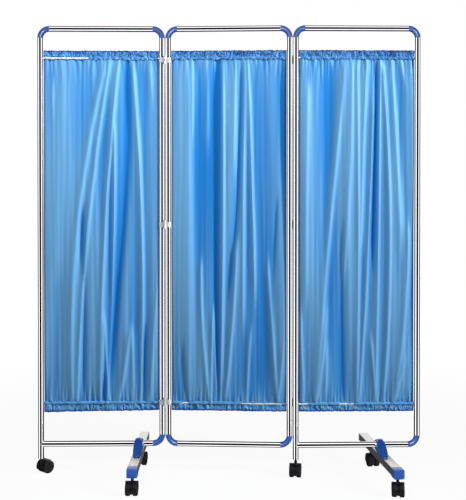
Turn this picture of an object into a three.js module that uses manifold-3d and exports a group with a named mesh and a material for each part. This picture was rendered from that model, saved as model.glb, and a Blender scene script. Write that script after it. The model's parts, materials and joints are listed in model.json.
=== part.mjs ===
// A ward privacy screen on wheels: three tube frames hinged in a zigzag, each with a gathered curtain,
// carried by casters under two long posts and under two T feet. Millimetres, +Z up, front towards -Y.
import * as THREE from 'three';
import { mergeVertices } from 'three/addons/utils/BufferGeometryUtils.js';
import Module from 'manifold-3d';

const wasm = await Module();
wasm.setup();

// Frame tubes
const tubeRadius = 11;
const tubeWall = 1;
const postSpacing = 465;
const topRailHeight = 1706;
const railAboveLeg = 23.7;
const bendRadius = 35;
const spigotLength = 28;

// Clearances and overruns
const fitGap = 0.3;
const cutOverrun = 2;
const weldOverlap = 0.8;

// Hinges between the panels
const hingeGap = 0.6;
const leafThickness = 1.4;
const leafGap = 0.4;
const leafHeight = 19;
const leafWrapAngle = Math.PI * 0.67;
const barrelRadius = 4.2;
const barrelHeight = 31;
const webThickness = 3;
const pinRadius = 2;
const pinHeadRadius = 3.4;
const pinHeadHeight = 1.2;
const hingeAboveRail = 160;
const hingeBelowRail = 119;
const middleHingeShare = 0.52;

// Curtains and their rods
const rodRadius = 3;
const rodSeat = 7;
const curtainBelowRail = 84;
const curtainAboveRail = 128;
const headerHeight = 38;
const frillHeight = 28;
const sleeveHalfHeight = 5.5;
const sleeveHalfDepth = 4.9;
const clothHalfDepth = 1.4;
const curtainSideGap = 4;
const foldDepth = 9;
const foldCount = 7;
const slowFoldCount = 3;
const mainFoldShare = 0.62;
const foldDrift = 1.4;
const foldSteps = 36;
const bodyLevelShares = [0.16, 0.84];
const headerFoldDepth = 2.2;
const sleeveFoldDepth = 0.8;
const foldPhases = { left: 0.2, middle: 1.1, right: 2.3 };

// T feet
const legWidth = 35;
const legHeight = 30;
const legWall = 1.5;
const legLength = 470;
const capWall = 1.7;
const capLength = 37;
const capEndWall = 4;
const socketLength = 26;
const frontCasterInset = 20;
const rearCasterPlace = 120;
const legCorner = 3;
const boltRadius = 4;
const boltHeadRadius = 8;
const boltHeadHeight = 4.5;
const boltReachShare = 0.75;
const clampWidth = 33;
const clampNose = 101;
const clampTail = 58;
const humpWall = 9.5;
const noseHeight = 7;
const noseRound = 64;
const tailRound = 40;
const humpArch = 17;
const noseLead = 45;
const tailLead = 18;
const humpShoulderAngle = Math.PI / 6;
const bossRadius = 8.7;

// Casters
const casterMount = 60;
const wheelRadius = 25;
const wheelWidth = 16.6;
const wheelEdge = 1.6;
const wheelDish = 1.6;
const dishRadius = 18;
const axleRadius = 4;
const webWidth = 10;
const sideGap = 0.8;
const trail = 22;
const hoodGap = 1;
const hoodWall = 1.6;
const neckRadius = 5.4;
const stemRadius = 5;
const stemLength = 24;
const socketDepth = 30;
const hoodStartAngle = -Math.PI / 9;
const hoodEndAngle = Math.PI * 0.6;
const webTopAngle = Math.PI / 4;
const webLowAngle = -Math.PI * 0.6;
const hubRadius = 20.5;

// Places along a panel, from its middle, and rest angles in degrees
const leftFootPlace = 142;
const rightFootPlace = 91;
const middleYaw = -2.7;
const leftFoldAtRest = 3.7;
const rightFoldAtRest = 3.9;
const footTurns = { left: -1, right: 6.2 };
const postCasterTurns = { left: -41, right: 171 };
const frontCasterTurns = { left: 180, right: 165 };
const rearCasterTurns = { left: 176, right: 182 };

// Facets round a tube, an elbow's bend, a small rod and a wheel
const tubeSides = 16;
const bendSteps = 4;
const rodSides = 10;
const wheelSides = 20;
const cornerSteps = 1;
const leafSteps = 2;
const barrelSides = 10;
const clampSteps = 8;
const hoodSteps = 4;

// Worked out from the sizes above
const tubeBore = tubeRadius - tubeWall;
const panelEdge = postSpacing / 2 + tubeRadius + hingeGap / 2;
const hingeOffset = tubeRadius + leafThickness + leafGap;
const axleHeight = wheelRadius * Math.cos(Math.PI / wheelSides);
const wheelSetHalf = webWidth / 2 + sideGap + wheelWidth;
const hoodOuter = wheelRadius + hoodGap + hoodWall;
const longPostEnd = casterMount + fitGap;
const legUnderside = casterMount + fitGap + capWall + fitGap;
const legTop = legUnderside + legHeight;
const bottomRailHeight = legTop + railAboveLeg;
const clampBase = legTop + fitGap;
const boltReach = (railAboveLeg - tubeRadius - 2 * fitGap) * boltReachShare;
const lowHinge = bottomRailHeight + hingeAboveRail;
const highHinge = topRailHeight - hingeBelowRail;
const middleHinge = THREE.MathUtils.lerp(lowHinge, highHinge, middleHingeShare);
const hingeHeights = [lowHinge, middleHinge, highHinge];
const curtainTop = topRailHeight - curtainBelowRail;
const curtainBottom = bottomRailHeight + curtainAboveRail;
const topRodHeight = curtainTop - frillHeight;
const bottomRodHeight = curtainBottom + frillHeight;
const legFront = -legLength / 2;
const legRear = legLength / 2;
const legMiddle = legUnderside + legHeight / 2;
const frontCasterPlace = legFront + frontCasterInset;
const stemTop = casterMount + stemLength;

const materials = {
  steel: new THREE.MeshStandardMaterial({ color: 0xd4d7da, roughness: 0.18, metalness: 1 }),
  elbow: new THREE.MeshStandardMaterial({ color: 0x3563b0, roughness: 0.4, metalness: 0 }),
  cloth: new THREE.MeshStandardMaterial({ color: 0x5d9fd4, roughness: 0.6, metalness: 0 }),
  legPaint: new THREE.MeshStandardMaterial({ color: 0xb9b8b2, roughness: 0.45, metalness: 0.4 }),
  rod: new THREE.MeshStandardMaterial({ color: 0xe8e8e6, roughness: 0.4, metalness: 0.2 }),
  black: new THREE.MeshStandardMaterial({ color: 0x1c1c20, roughness: 0.5, metalness: 0 }),
  tread: new THREE.MeshStandardMaterial({ color: 0x2a2a2e, roughness: 0.7, metalness: 0 }),
};

// Solids

function solidOf(geometry) {
  const plain = geometry.index ? geometry.toNonIndexed() : geometry.clone();
  plain.deleteAttribute('normal');
  plain.deleteAttribute('uv');
  const merged = mergeVertices(plain);
  const corners = merged.index.array;
  const kept = [];
  for (let i = 0; i < corners.length; i += 3) {
    const [a, b, c] = corners.subarray(i, i + 3);
    if (a !== b && b !== c && c !== a) kept.push(a, b, c);
  }
  return new wasm.Manifold(new wasm.Mesh({
    numProp: 3,
    vertProperties: new Float32Array(merged.attributes.position.array),
    triVerts: new Uint32Array(kept),
  }));
}

function meshOf(name, solid, material) {
  const { vertProperties, triVerts, numProp } = solid.getMesh();
  const positions = new Float32Array(triVerts.length * 3);
  triVerts.forEach((vertex, i) => {
    positions.set(vertProperties.subarray(vertex * numProp, vertex * numProp + 3), i * 3);
  });
  const geometry = new THREE.BufferGeometry();
  geometry.setAttribute('position', new THREE.BufferAttribute(positions, 3));
  geometry.computeVertexNormals();
  const mesh = new THREE.Mesh(geometry, material);
  mesh.name = name;
  return mesh;
}

// A profile of [radius, height] pairs turned about Z, with the middle of a facet towards -Y.
function turned(profile, sides) {
  const points = profile.map(([radius, height]) => new THREE.Vector2(radius, height));
  const geometry = new THREE.LatheGeometry(points, sides);
  geometry.rotateY(Math.PI / sides);
  geometry.rotateX(Math.PI / 2);
  return solidOf(geometry);
}

function rod(radius, from, to, sides = rodSides) {
  return turned([[0, from], [radius, from], [radius, to], [0, to]], sides);
}

function pipe(outer, inner, from, to) {
  const profile = [[inner, from], [outer, from], [outer, to], [inner, to], [inner, from]];
  return turned(profile, tubeSides);
}

function block(width, depth, height, x, y, z) {
  return solidOf(new THREE.BoxGeometry(width, depth, height)).translate([x, y, z]);
}

function extruded(shape, depth, curveSegments) {
  return solidOf(new THREE.ExtrudeGeometry(shape, { depth, bevelEnabled: false, curveSegments }));
}

// From an outline in X and Z, extruded along Y and centred on it.
function alongY(shape, depth, curveSegments) {
  return extruded(shape, depth, curveSegments).rotate([90, 0, 0]).translate([0, depth / 2, 0]);
}

// From an outline in Y and Z, extruded along X and centred on it.
function acrossX(shape, width, curveSegments) {
  return extruded(shape, width, curveSegments).rotate([90, 0, 90]).translate([-width / 2, 0, 0]);
}

function alongX(solid) {
  return solid.rotate([0, 90, 0]);
}

function union(solids) {
  return solids.reduce((joined, solid) => joined.add(solid));
}

// Frame tubes

function rodHole(height, side) {
  const bore = rod(rodRadius + fitGap, 0, tubeRadius + cutOverrun);
  return alongX(bore).rotate([0, 0, side > 0 ? 180 : 0]).translate([0, 0, height]);
}

// One half of a hinge on a post whose neighbour is to the right and whose pin is in front.
function hingeHalf(upper) {
  const reach = tubeRadius + leafThickness;
  const pinX = tubeRadius + hingeGap / 2;
  const leafEnd = -Math.acos((pinX - leafGap) / reach);
  const leafStart = leafEnd - leafWrapAngle;
  const leaf = new THREE.Shape();
  leaf.absarc(0, 0, reach, leafStart, leafEnd, false);
  leaf.absarc(0, 0, tubeRadius - weldOverlap, leafEnd, leafStart, true);
  const saddle = extruded(leaf, leafHeight, leafSteps).translate([0, 0, -leafHeight / 2]);
  const side = upper ? 1 : -1;
  const pinDistance = Math.hypot(pinX, hingeOffset);
  const webLength = pinDistance - tubeRadius;
  const webHeight = leafHeight / 2 - fitGap / 2;
  const web = block(webLength, webThickness, webHeight, tubeRadius + webLength / 2, 0, 0)
    .rotate([0, 0, THREE.MathUtils.radToDeg(-Math.atan2(hingeOffset, pinX))])
    .translate([0, 0, side * (fitGap / 2 + webHeight / 2)]);
  const barrel = rod(barrelRadius, fitGap / 2, barrelHeight / 2, barrelSides)
    .translate([pinX, -hingeOffset, upper ? 0 : -(barrelHeight + fitGap) / 2]);
  const bore = rod(pinRadius + fitGap, -barrelHeight, barrelHeight).translate([pinX, -hingeOffset, 0]);
  return union([saddle, web, barrel]).subtract(bore);
}

// A post on its own axis: hinge is null, or the side its neighbour is on, the side of the pin and
// whether it holds the upper halves; rods is the side that the curtain is on.
function post({ long, rods, hinge }) {
  const foot = long ? longPostEnd : bottomRailHeight + bendRadius + fitGap;
  const top = topRailHeight - bendRadius - fitGap;
  let solid = pipe(tubeRadius, tubeBore, foot, top);
  if (hinge) {
    const half = hingeHalf(hinge.upper).scale([hinge.side, -hinge.pin, 1]);
    const halves = hingeHeights.map((height) => half.translate([0, 0, height]));
    solid = union([solid, ...halves]).subtract(rod(tubeBore, foot, top, tubeSides));
  }
  if (long) {
    const socket = pipe(tubeBore + weldOverlap, stemRadius + fitGap, foot, foot + socketDepth);
    solid = solid.add(socket);
  }
  for (const height of [bottomRodHeight, topRodHeight]) {
    solid = solid.subtract(rodHole(height, rods > 0 ? -1 : 1));
  }
  return solid;
}

// A rail between two elbows, or from a weld against a long post's side to an elbow.
function rail(height, weldedSide) {
  const end = postSpacing / 2 - bendRadius - fitGap;
  const from = weldedSide < 0 ? -postSpacing / 2 : -end;
  const to = weldedSide > 0 ? postSpacing / 2 : end;
  const solid = alongX(pipe(tubeRadius, tubeBore, from, to)).translate([0, 0, height]);
  if (!weldedSide) return solid;
  const cope = rod(tubeRadius + fitGap, -tubeRadius - cutOverrun, tubeRadius + cutOverrun, tubeSides);
  return solid.subtract(cope.translate([weldedSide * postSpacing / 2, 0, height]));
}

class CornerBend extends THREE.Curve {
  getPoint(share) {
    const turn = share * Math.PI / 2;
    const x = bendRadius * (Math.sin(turn) - 1);
    const z = bendRadius * (Math.cos(turn) - 1);
    return new THREE.Vector3(x, 0, z);
  }
}

function ringOutline(radius, sides) {
  const corners = [];
  for (let i = 0; i < sides; i += 1) {
    const angle = (i + 0.5) * 2 * Math.PI / sides;
    corners.push(new THREE.Vector2(radius * Math.cos(angle), radius * Math.sin(angle)));
  }
  return new THREE.Shape(corners);
}

// A plug-in corner whose arms point along -X and -Z, with the tubes' centrelines crossing at zero.
function elbow() {
  const bend = solidOf(new THREE.ExtrudeGeometry(
    ringOutline(tubeRadius, tubeSides),
    { steps: bendSteps, bevelEnabled: false, extrudePath: new CornerBend() },
  ));
  const plugEnd = -bendRadius - spigotLength;
  const plug = rod(tubeBore - fitGap, plugEnd, weldOverlap - bendRadius, tubeSides);
  return union([bend, plug, alongX(plug)]);
}

// Curtain

// How far the cloth lies in front of or behind its rods, from -1 to 1, at a share of the width.
function fold(widthShare, heightShare, phase) {
  const main = Math.sin(2 * Math.PI * foldCount * widthShare + phase);
  const slow = Math.sin(2 * Math.PI * slowFoldCount * widthShare - phase + foldDrift * heightShare);
  return mainFoldShare * main + (1 - mainFoldShare) * slow;
}

function curtain(phase) {
  const width = postSpacing - 2 * (tubeRadius + curtainSideGap);
  const lowSeam = curtainBottom + headerHeight;
  const highSeam = curtainTop - headerHeight;
  const levels = [
    [curtainBottom, headerFoldDepth, clothHalfDepth],
    [bottomRodHeight - sleeveHalfHeight, sleeveFoldDepth, sleeveHalfDepth],
    [bottomRodHeight + sleeveHalfHeight, sleeveFoldDepth, sleeveHalfDepth],
    [lowSeam, headerFoldDepth, clothHalfDepth],
    ...bodyLevelShares.map((share) => [
      THREE.MathUtils.lerp(lowSeam, highSeam, share), foldDepth, clothHalfDepth,
    ]),
    [highSeam, headerFoldDepth, clothHalfDepth],
    [topRodHeight - sleeveHalfHeight, sleeveFoldDepth, sleeveHalfDepth],
    [topRodHeight + sleeveHalfHeight, sleeveFoldDepth, sleeveHalfDepth],
    [curtainTop, headerFoldDepth, clothHalfDepth],
  ];
  const rings = levels.map(([height, depth, half]) => {
    const front = [];
    const back = [];
    for (let i = 0; i <= foldSteps; i += 1) {
      const x = (i / foldSteps - 0.5) * width;
      const y = depth * fold(i / foldSteps, height / curtainTop, phase);
      front.push([x, y - half, height]);
      back.unshift([x, y + half, height]);
    }
    return [...front, ...back];
  });
  let solid = lofted(rings);
  for (const height of [bottomRodHeight, topRodHeight]) {
    const tunnel = rod(rodRadius + fitGap, -width, width);
    solid = solid.subtract(alongX(tunnel).translate([0, 0, height]));
  }
  return solid;
}

// A closed solid through rings of equal length, each a strip's front edge and then its back edge.
function lofted(rings) {
  const size = rings[0].length;
  const index = [];
  for (let level = 0; level < rings.length - 1; level += 1) {
    for (let i = 0; i < size; i += 1) {
      const a = level * size + i;
      const b = level * size + (i + 1) % size;
      index.push(a, b, b + size, a, b + size, a + size);
    }
  }
  const last = (rings.length - 1) * size;
  for (let i = 0; i < size / 2 - 1; i += 1) {
    const j = size - 1 - i;
    index.push(i, j - 1, i + 1, i, j, j - 1);
    index.push(last + i, last + i + 1, last + j - 1, last + i, last + j - 1, last + j);
  }
  const geometry = new THREE.BufferGeometry();
  geometry.setAttribute('position', new THREE.Float32BufferAttribute(rings.flat(2), 3));
  geometry.setIndex(index);
  return solidOf(geometry);
}

// T foot

function roundedRectangle(width, height, corner) {
  const shape = new THREE.Shape();
  const x = width / 2;
  const z = height / 2;
  shape.moveTo(-x + corner, -z);
  shape.lineTo(x - corner, -z);
  shape.absarc(x - corner, corner - z, corner, -Math.PI / 2, 0);
  shape.lineTo(x, z - corner);
  shape.absarc(x - corner, z - corner, corner, 0, Math.PI / 2);
  shape.lineTo(corner - x, z);
  shape.absarc(corner - x, z - corner, corner, Math.PI / 2, Math.PI);
  shape.lineTo(-x, corner - z);
  shape.absarc(corner - x, corner - z, corner, Math.PI, Math.PI * 1.5);
  return shape;
}

function beam(grow, from, to) {
  const corner = legCorner + grow;
  const outline = roundedRectangle(legWidth + 2 * grow, legHeight + 2 * grow, corner);
  return alongY(outline, to - from, cornerSteps).translate([0, (from + to) / 2, legMiddle]);
}

function upright(radius, from, to, y) {
  return rod(radius, from, to, rodSides).translate([0, y, 0]);
}

function leg() {
  const shell = beam(0, legFront + capEndWall + fitGap, legRear)
    .subtract(beam(-legWall, legFront, legRear + cutOverrun));
  return shell
    .subtract(upright(boltRadius + fitGap, 0, legTop + cutOverrun, 0))
    .subtract(upright(stemRadius + fitGap, 0, legMiddle, frontCasterPlace))
    .subtract(upright(bossRadius + fitGap, 0, legMiddle, rearCasterPlace));
}

// A sleeve over the leg's front end, with a plug inside the leg that holds the caster's stem.
function frontCap() {
  const sleeve = beam(fitGap + capWall, legFront, legFront + capLength)
    .subtract(beam(fitGap, legFront + capEndWall, legFront + capLength + cutOverrun));
  const plug = beam(-legWall - fitGap, legFront + capEndWall - weldOverlap, legFront + capLength);
  return sleeve.add(plug).subtract(upright(stemRadius + fitGap, 0, stemTop + fitGap, frontCasterPlace));
}

// A plug inside the leg with a boss through the leg's underside, for the rear caster's stem.
function rearSocket() {
  const half = socketLength / 2;
  const plug = beam(-legWall - fitGap, rearCasterPlace - half, rearCasterPlace + half);
  const boss = upright(bossRadius, casterMount + fitGap, legMiddle, rearCasterPlace);
  return plug.add(boss).subtract(upright(stemRadius + fitGap, 0, stemTop + fitGap, rearCasterPlace));
}

// The saddle over the rail: a hump round the tube that runs out into a long nose and a shorter tail.
function clamp() {
  const railAbove = bottomRailHeight - clampBase;
  const humpRadius = tubeRadius + humpWall;
  const side = new THREE.Shape();
  const shoulderY = humpRadius * Math.sin(humpShoulderAngle);
  const shoulderZ = railAbove + humpRadius * Math.cos(humpShoulderAngle);
  const dropY = Math.cos(humpShoulderAngle);
  const dropZ = Math.sin(humpShoulderAngle);
  const noseShoulder = Math.PI / 2 + humpShoulderAngle;
  const tailShoulder = Math.PI / 2 - humpShoulderAngle;
  side.moveTo(-clampNose, 0);
  side.lineTo(-clampNose, noseHeight);
  side.quadraticCurveTo(
    -shoulderY - noseLead * dropY, shoulderZ - noseLead * dropZ, -shoulderY, shoulderZ,
  );
  side.absarc(0, railAbove, humpRadius, noseShoulder, tailShoulder, true);
  side.quadraticCurveTo(
    shoulderY + tailLead * dropY, shoulderZ - tailLead * dropZ, clampTail, noseHeight,
  );
  side.lineTo(clampTail, 0);
  const plan = new THREE.Shape();
  const half = clampWidth / 2;
  plan.absellipse(0, noseRound - clampNose, half, noseRound, Math.PI, 2 * Math.PI, false);
  plan.lineTo(half, clampTail - tailRound);
  plan.absellipse(0, clampTail - tailRound, half, tailRound, 0, Math.PI, false);
  const arch = new THREE.Shape();
  const humpTop = railAbove + humpRadius;
  arch.moveTo(-half, 0);
  arch.lineTo(half, 0);
  arch.lineTo(half, humpTop - humpArch);
  arch.absellipse(0, humpTop - humpArch, half, humpArch, 0, Math.PI, false);
  const bore = rod(tubeRadius + fitGap, -clampWidth, clampWidth, tubeSides);
  const sideways = acrossX(side, clampWidth, clampSteps);
  const outline = extruded(plan, humpTop, clampSteps);
  const front = alongY(arch, 2 * clampNose + 2 * clampTail, clampSteps);
  return sideways
    .intersect(outline)
    .intersect(front)
    .subtract(alongX(bore).translate([0, 0, railAbove]))
    .subtract(upright(boltRadius + fitGap, -cutOverrun, boltReach + fitGap, 0))
    .translate([0, 0, clampBase]);
}

function swivelBolt() {
  const headTop = legUnderside - fitGap;
  return turned([
    [0, headTop - boltHeadHeight],
    [boltHeadRadius, headTop - boltHeadHeight],
    [boltHeadRadius, headTop],
    [boltRadius, headTop],
    [boltRadius, clampBase + boltReach],
    [0, clampBase + boltReach],
  ], rodSides);
}

// Caster, with its swivel axis on Z and its axle behind, towards +Y

function wheelSet() {
  const half = wheelSetHalf;
  const inner = webWidth / 2 + sideGap;
  const wheel = [
    [dishRadius - wheelDish, half - wheelDish],
    [dishRadius, half],
    [wheelRadius - wheelEdge, half],
    [wheelRadius, half - wheelEdge],
    [wheelRadius, inner],
    [axleRadius, inner],
  ];
  const mirrored = wheel.map(([radius, x]) => [radius, -x]);
  const profile = [[0, wheelDish - half], ...mirrored, ...wheel.reverse(), [0, half - wheelDish]];
  return alongX(turned(profile, wheelSides)).translate([0, trail, axleHeight]);
}

function housing() {
  const hood = new THREE.Shape();
  hood.absarc(0, 0, hoodOuter, Math.PI - hoodStartAngle, Math.PI - hoodEndAngle, true);
  hood.absarc(0, 0, hoodOuter - hoodWall, Math.PI - hoodEndAngle, Math.PI - hoodStartAngle, false);
  const web = new THREE.Shape();
  web.absarc(0, 0, hoodOuter - weldOverlap, Math.PI - hoodStartAngle, Math.PI - hoodEndAngle, true);
  web.absarc(0, 0, hubRadius, webTopAngle, webLowAngle, true);
  const place = [0, trail, axleHeight];
  return union([
    acrossX(hood, 2 * wheelSetHalf, hoodSteps).translate(place),
    acrossX(web, webWidth, hoodSteps).translate(place),
    rod(neckRadius, axleHeight, casterMount),
    rod(stemRadius, casterMount - weldOverlap, stemTop),
  ]).subtract(alongX(rod(axleRadius + fitGap, -webWidth, webWidth)).translate(place));
}

function hingePin() {
  const end = barrelHeight / 2;
  return turned([
    [0, -end],
    [pinRadius, -end],
    [pinRadius, end + fitGap],
    [pinHeadRadius, end + fitGap],
    [pinHeadRadius, end + fitGap + pinHeadHeight],
    [0, end + fitGap + pinHeadHeight],
  ], rodSides);
}

// Assembly

function casterGroup(name, x, y, turn) {
  const group = new THREE.Group();
  group.add(meshOf(`${name}_housing`, housing(), materials.black));
  group.add(meshOf(`${name}_wheels`, wheelSet(), materials.tread));
  group.position.set(x, y, 0);
  group.rotation.z = THREE.MathUtils.degToRad(turn);
  return group;
}

function footGroup(side, place) {
  const name = `foot_${side}`;
  const turning = new THREE.Group();
  turning.add(meshOf(`${name}_leg`, leg(), materials.legPaint));
  turning.add(meshOf(`${name}_front_cap`, frontCap(), materials.elbow));
  turning.add(meshOf(`${name}_rear_socket`, rearSocket(), materials.black));
  turning.add(casterGroup(`${name}_front_caster`, 0, frontCasterPlace, frontCasterTurns[side]));
  turning.add(casterGroup(`${name}_rear_caster`, 0, rearCasterPlace, rearCasterTurns[side]));
  turning.rotation.z = THREE.MathUtils.degToRad(footTurns[side]);
  const group = new THREE.Group();
  group.add(turning);
  group.add(meshOf(`${name}_clamp`, clamp(), materials.elbow));
  group.add(meshOf(`${name}_swivel_bolt`, swivelBolt(), materials.steel));
  group.position.x = place;
  return group;
}

const cornerTurns = { top_right: 0, bottom_right: 90, bottom_left: 180, top_left: 270 };

function elbowMesh(panelName, corner) {
  const mesh = meshOf(`${panelName}_elbow_${corner}`, elbow(), materials.elbow);
  const right = corner.endsWith('right');
  const high = corner.startsWith('top');
  mesh.position.x = right ? postSpacing / 2 : -postSpacing / 2;
  mesh.position.z = high ? topRailHeight : bottomRailHeight;
  mesh.rotation.y = THREE.MathUtils.degToRad(cornerTurns[corner]);
  return mesh;
}

// A panel on its own frame: X along it, its tubes' centreline plane at Y zero.
function panelGroup(name, { longSide, leftHinge, rightHinge, phase }) {
  const group = new THREE.Group();
  const left = post({ long: longSide < 0, rods: 1, hinge: leftHinge });
  const right = post({ long: longSide > 0, rods: -1, hinge: rightHinge });
  group.add(meshOf(`${name}_post_left`, left.translate([-postSpacing / 2, 0, 0]), materials.steel));
  group.add(meshOf(`${name}_post_right`, right.translate([postSpacing / 2, 0, 0]), materials.steel));
  group.add(meshOf(`${name}_rail_top`, rail(topRailHeight, 0), materials.steel));
  group.add(meshOf(`${name}_rail_bottom`, rail(bottomRailHeight, longSide), materials.steel));
  for (const corner of Object.keys(cornerTurns)) {
    const welded = corner === (longSide < 0 ? 'bottom_left' : 'bottom_right') && longSide !== 0;
    if (!welded) group.add(elbowMesh(name, corner));
  }
  const rodEnd = postSpacing / 2 - tubeRadius + rodSeat;
  for (const [place, height] of [['top', topRodHeight], ['bottom', bottomRodHeight]]) {
    const bar = alongX(rod(rodRadius, -rodEnd, rodEnd)).translate([0, 0, height]);
    group.add(meshOf(`${name}_curtain_rod_${place}`, bar, materials.rod));
  }
  group.add(meshOf(`${name}_curtain`, curtain(phase), materials.cloth));
  return group;
}

// Hangs a panel on the hinge at one edge of the middle panel, folded by an angle.
function hang(panel, side, pinSide, angle, pinNames) {
  const pivot = new THREE.Group();
  pivot.position.set(side * panelEdge, pinSide * hingeOffset, 0);
  pivot.rotation.z = THREE.MathUtils.degToRad(angle);
  panel.position.set(side * panelEdge, -pinSide * hingeOffset, 0);
  pivot.add(panel);
  hingeHeights.forEach((height, i) => {
    const pin = meshOf(pinNames[i], hingePin(), materials.steel);
    pin.position.z = height;
    pivot.add(pin);
  });
  return pivot;
}

const pinPlaces = ['bottom', 'middle', 'top'];
const middle = panelGroup('middle_panel', {
  longSide: 0,
  leftHinge: { side: -1, pin: -1, upper: true },
  rightHinge: { side: 1, pin: 1, upper: false },
  phase: foldPhases.middle,
});
const left = panelGroup('left_panel', {
  longSide: -1,
  leftHinge: null,
  rightHinge: { side: 1, pin: -1, upper: false },
  phase: foldPhases.left,
});
const right = panelGroup('right_panel', {
  longSide: -1,
  leftHinge: { side: -1, pin: 1, upper: true },
  rightHinge: null,
  phase: foldPhases.right,
});
left.add(footGroup('left', leftFootPlace));
left.add(casterGroup('left_post_caster', -postSpacing / 2, 0, postCasterTurns.left));
right.add(footGroup('right', rightFootPlace));
right.add(casterGroup('right_post_caster', -postSpacing / 2, 0, postCasterTurns.right));
middle.add(hang(left, -1, -1, leftFoldAtRest, pinPlaces.map((place) => `left_hinge_pin_${place}`)));
middle.add(hang(right, 1, 1, rightFoldAtRest, pinPlaces.map((place) => `right_hinge_pin_${place}`)));

// The origin is on the floor under the middle of the whole screen.
const screen = new THREE.Group();
middle.rotation.z = THREE.MathUtils.degToRad(middleYaw);
screen.add(middle);
const middleOfBox = new THREE.Box3().setFromObject(screen, true).getCenter(new THREE.Vector3());
middle.position.set(-middleOfBox.x, -middleOfBox.y, 0);

export default screen;
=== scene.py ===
import json
import math
from collections import namedtuple

import bmesh
import bpy
from mathutils import Matrix, Vector, noise

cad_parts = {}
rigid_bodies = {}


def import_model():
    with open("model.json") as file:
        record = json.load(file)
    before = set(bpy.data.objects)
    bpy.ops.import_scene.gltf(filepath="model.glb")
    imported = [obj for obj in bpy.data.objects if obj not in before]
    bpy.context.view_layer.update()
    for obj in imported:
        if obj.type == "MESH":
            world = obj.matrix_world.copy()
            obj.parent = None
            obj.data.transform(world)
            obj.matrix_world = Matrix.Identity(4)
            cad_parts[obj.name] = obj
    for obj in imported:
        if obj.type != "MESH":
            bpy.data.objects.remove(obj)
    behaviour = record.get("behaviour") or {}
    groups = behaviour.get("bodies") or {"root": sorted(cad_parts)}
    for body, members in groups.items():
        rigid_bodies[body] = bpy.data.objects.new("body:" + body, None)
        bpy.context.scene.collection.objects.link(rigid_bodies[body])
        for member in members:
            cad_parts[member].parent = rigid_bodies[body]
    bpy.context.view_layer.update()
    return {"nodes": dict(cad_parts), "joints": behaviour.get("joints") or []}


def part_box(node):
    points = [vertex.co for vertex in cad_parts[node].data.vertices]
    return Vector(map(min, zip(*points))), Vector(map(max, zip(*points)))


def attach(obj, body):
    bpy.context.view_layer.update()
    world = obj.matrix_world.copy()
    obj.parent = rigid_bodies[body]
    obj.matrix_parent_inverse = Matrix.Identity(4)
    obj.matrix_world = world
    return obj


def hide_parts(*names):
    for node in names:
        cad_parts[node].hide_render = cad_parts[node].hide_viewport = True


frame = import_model()

# Frame tubes and elbows, in metres as every size here
TUBE_RADIUS = 0.011
TUBE_BORE = 0.010
POST_SPACING = 0.465
BEND_RADIUS = 0.035
SPIGOT_LENGTH = 0.028
SPIGOT_SHOULDER = 0.0012
FIT_GAP = 0.0003
MERGE_GAP = FIT_GAP / 100
EDGE_ROUND = 0.0004
EDGE_STEPS = 2
WELD_RADIUS = 0.0016
WELD_SIDES = 8
BEND_STEPS = 20
SPIGOT_RING_SHARE = 1.1

# Sides and steps of round pieces, from the smallest to the largest, and of curves
CORNER_STEPS = 6
SMALL_SIDES = 24
ROUND_SIDES = 32
TUBE_SIDES = 48
WHEEL_SIDES = 64
CURVE_STEPS = 16

# The angles above which an edge stays sharp, and above which it is softened
SHARP_ANGLE = math.radians(32)
SOFTENED_ANGLE = math.radians(40)

# Hinges between the panels
LEAF_THICKNESS = 0.0014
LEAF_HEIGHT = 0.019
LEAF_GAP = 0.0004
LEAF_SEAT = FIT_GAP / 3
LEAF_WRAP_ANGLE = math.radians(120)
HINGE_GAP = 0.0006
BARREL_RADIUS = 0.0042
BARREL_HEIGHT = 0.031
WEB_THICKNESS = 0.003
PIN_RADIUS = 0.002
PIN_HEAD_RADIUS = 0.0034
PIN_HEAD_HEIGHT = 0.0012
SCREW_RADIUS = 0.0026
SCREW_HEIGHT = 0.0011
SCREW_SLOT = 0.0006
SCREW_RIM_SHARE = 0.4
SCREW_CROWN_SHARES = (0.7, 0.9)
SCREW_ANGLE = math.radians(-126)

# Curtains and their rods
ROD_RADIUS = 0.003
ROD_SEAT = 0.007
CLOTH_THICKNESS = 0.0005
CLOTH_FLAT = (0.62, 1.46)
SIDE_GAP = 0.0012
HEADER_HEIGHT = 0.035
FRILL_HEIGHT = 0.028
POCKET_HALF = 0.0046
POCKET_DEPTH = 0.0046
LAYER_GAP = 0.0009
# The width along each side of a curtain over which shade is painted
SIDE_PAINTED_SHADE_WIDTH = 0.0050
LEFT_SAG = 0.006
# Forward travel at which the painted shade in a fold's recess is full, and at which it is gone in the body
PAINTED_SHADE_DEPTH = -0.008
CREST = 0.006
FRILL_SLANT = 2.4
FRILL_LEAN_WAVE = 0.03
FRILL_WAVE_HEIGHT = 0.024
FRILL_RIPPLE_HEIGHT = 0.014
FRILL_RIPPLE_SHARE = 2.1
FRILL_ROD_SHARE = 0.8
SCALLOP = 0.0018
SCALLOP_WAVE = 0.012
GATHER_DEPTH = 0.0030
GATHER_WAVE = 0.0095
GATHER_LENGTH = 0.09
GATHER_REACH = 0.045
SWELL_DEPTH = 0.0055
SWELL_WAVE = 0.075
SWELL_LENGTH = 0.9
CREASE_DEPTH = 0.0008
CREASE_WAVE = 0.013
CREASE_LENGTH = 0.42
FOLD_GAINS = {"left": 2.0, "middle": 1.7, "right": 1.9}
FOLD_LEAN = 1.8
FOLD_SHARPNESS = 1.5
FOLD_LIMIT = 0.0125
FOLD_MARGIN_SHARE = 0.001
FOLD_HIGH_FADE_SHARE = 0.08
FOLD_LOW_FADE_SHARE = 0.15
GATHERED_FOLD_SHARE = 0.35
SLIT_EASE_SHARE = 0.02
TUNNEL_SHARES = (0.75, 1.1)
EDGE_CURL = 0.0090
EDGE_CURL_WIDTH = 0.008
HEADER_CURL_SHARE = 0.3
HEADER_CROWDING = 1.5
CLOTH_COLUMNS = 340
HEADER_ROWS = 12
BODY_ROWS = 86

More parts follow.
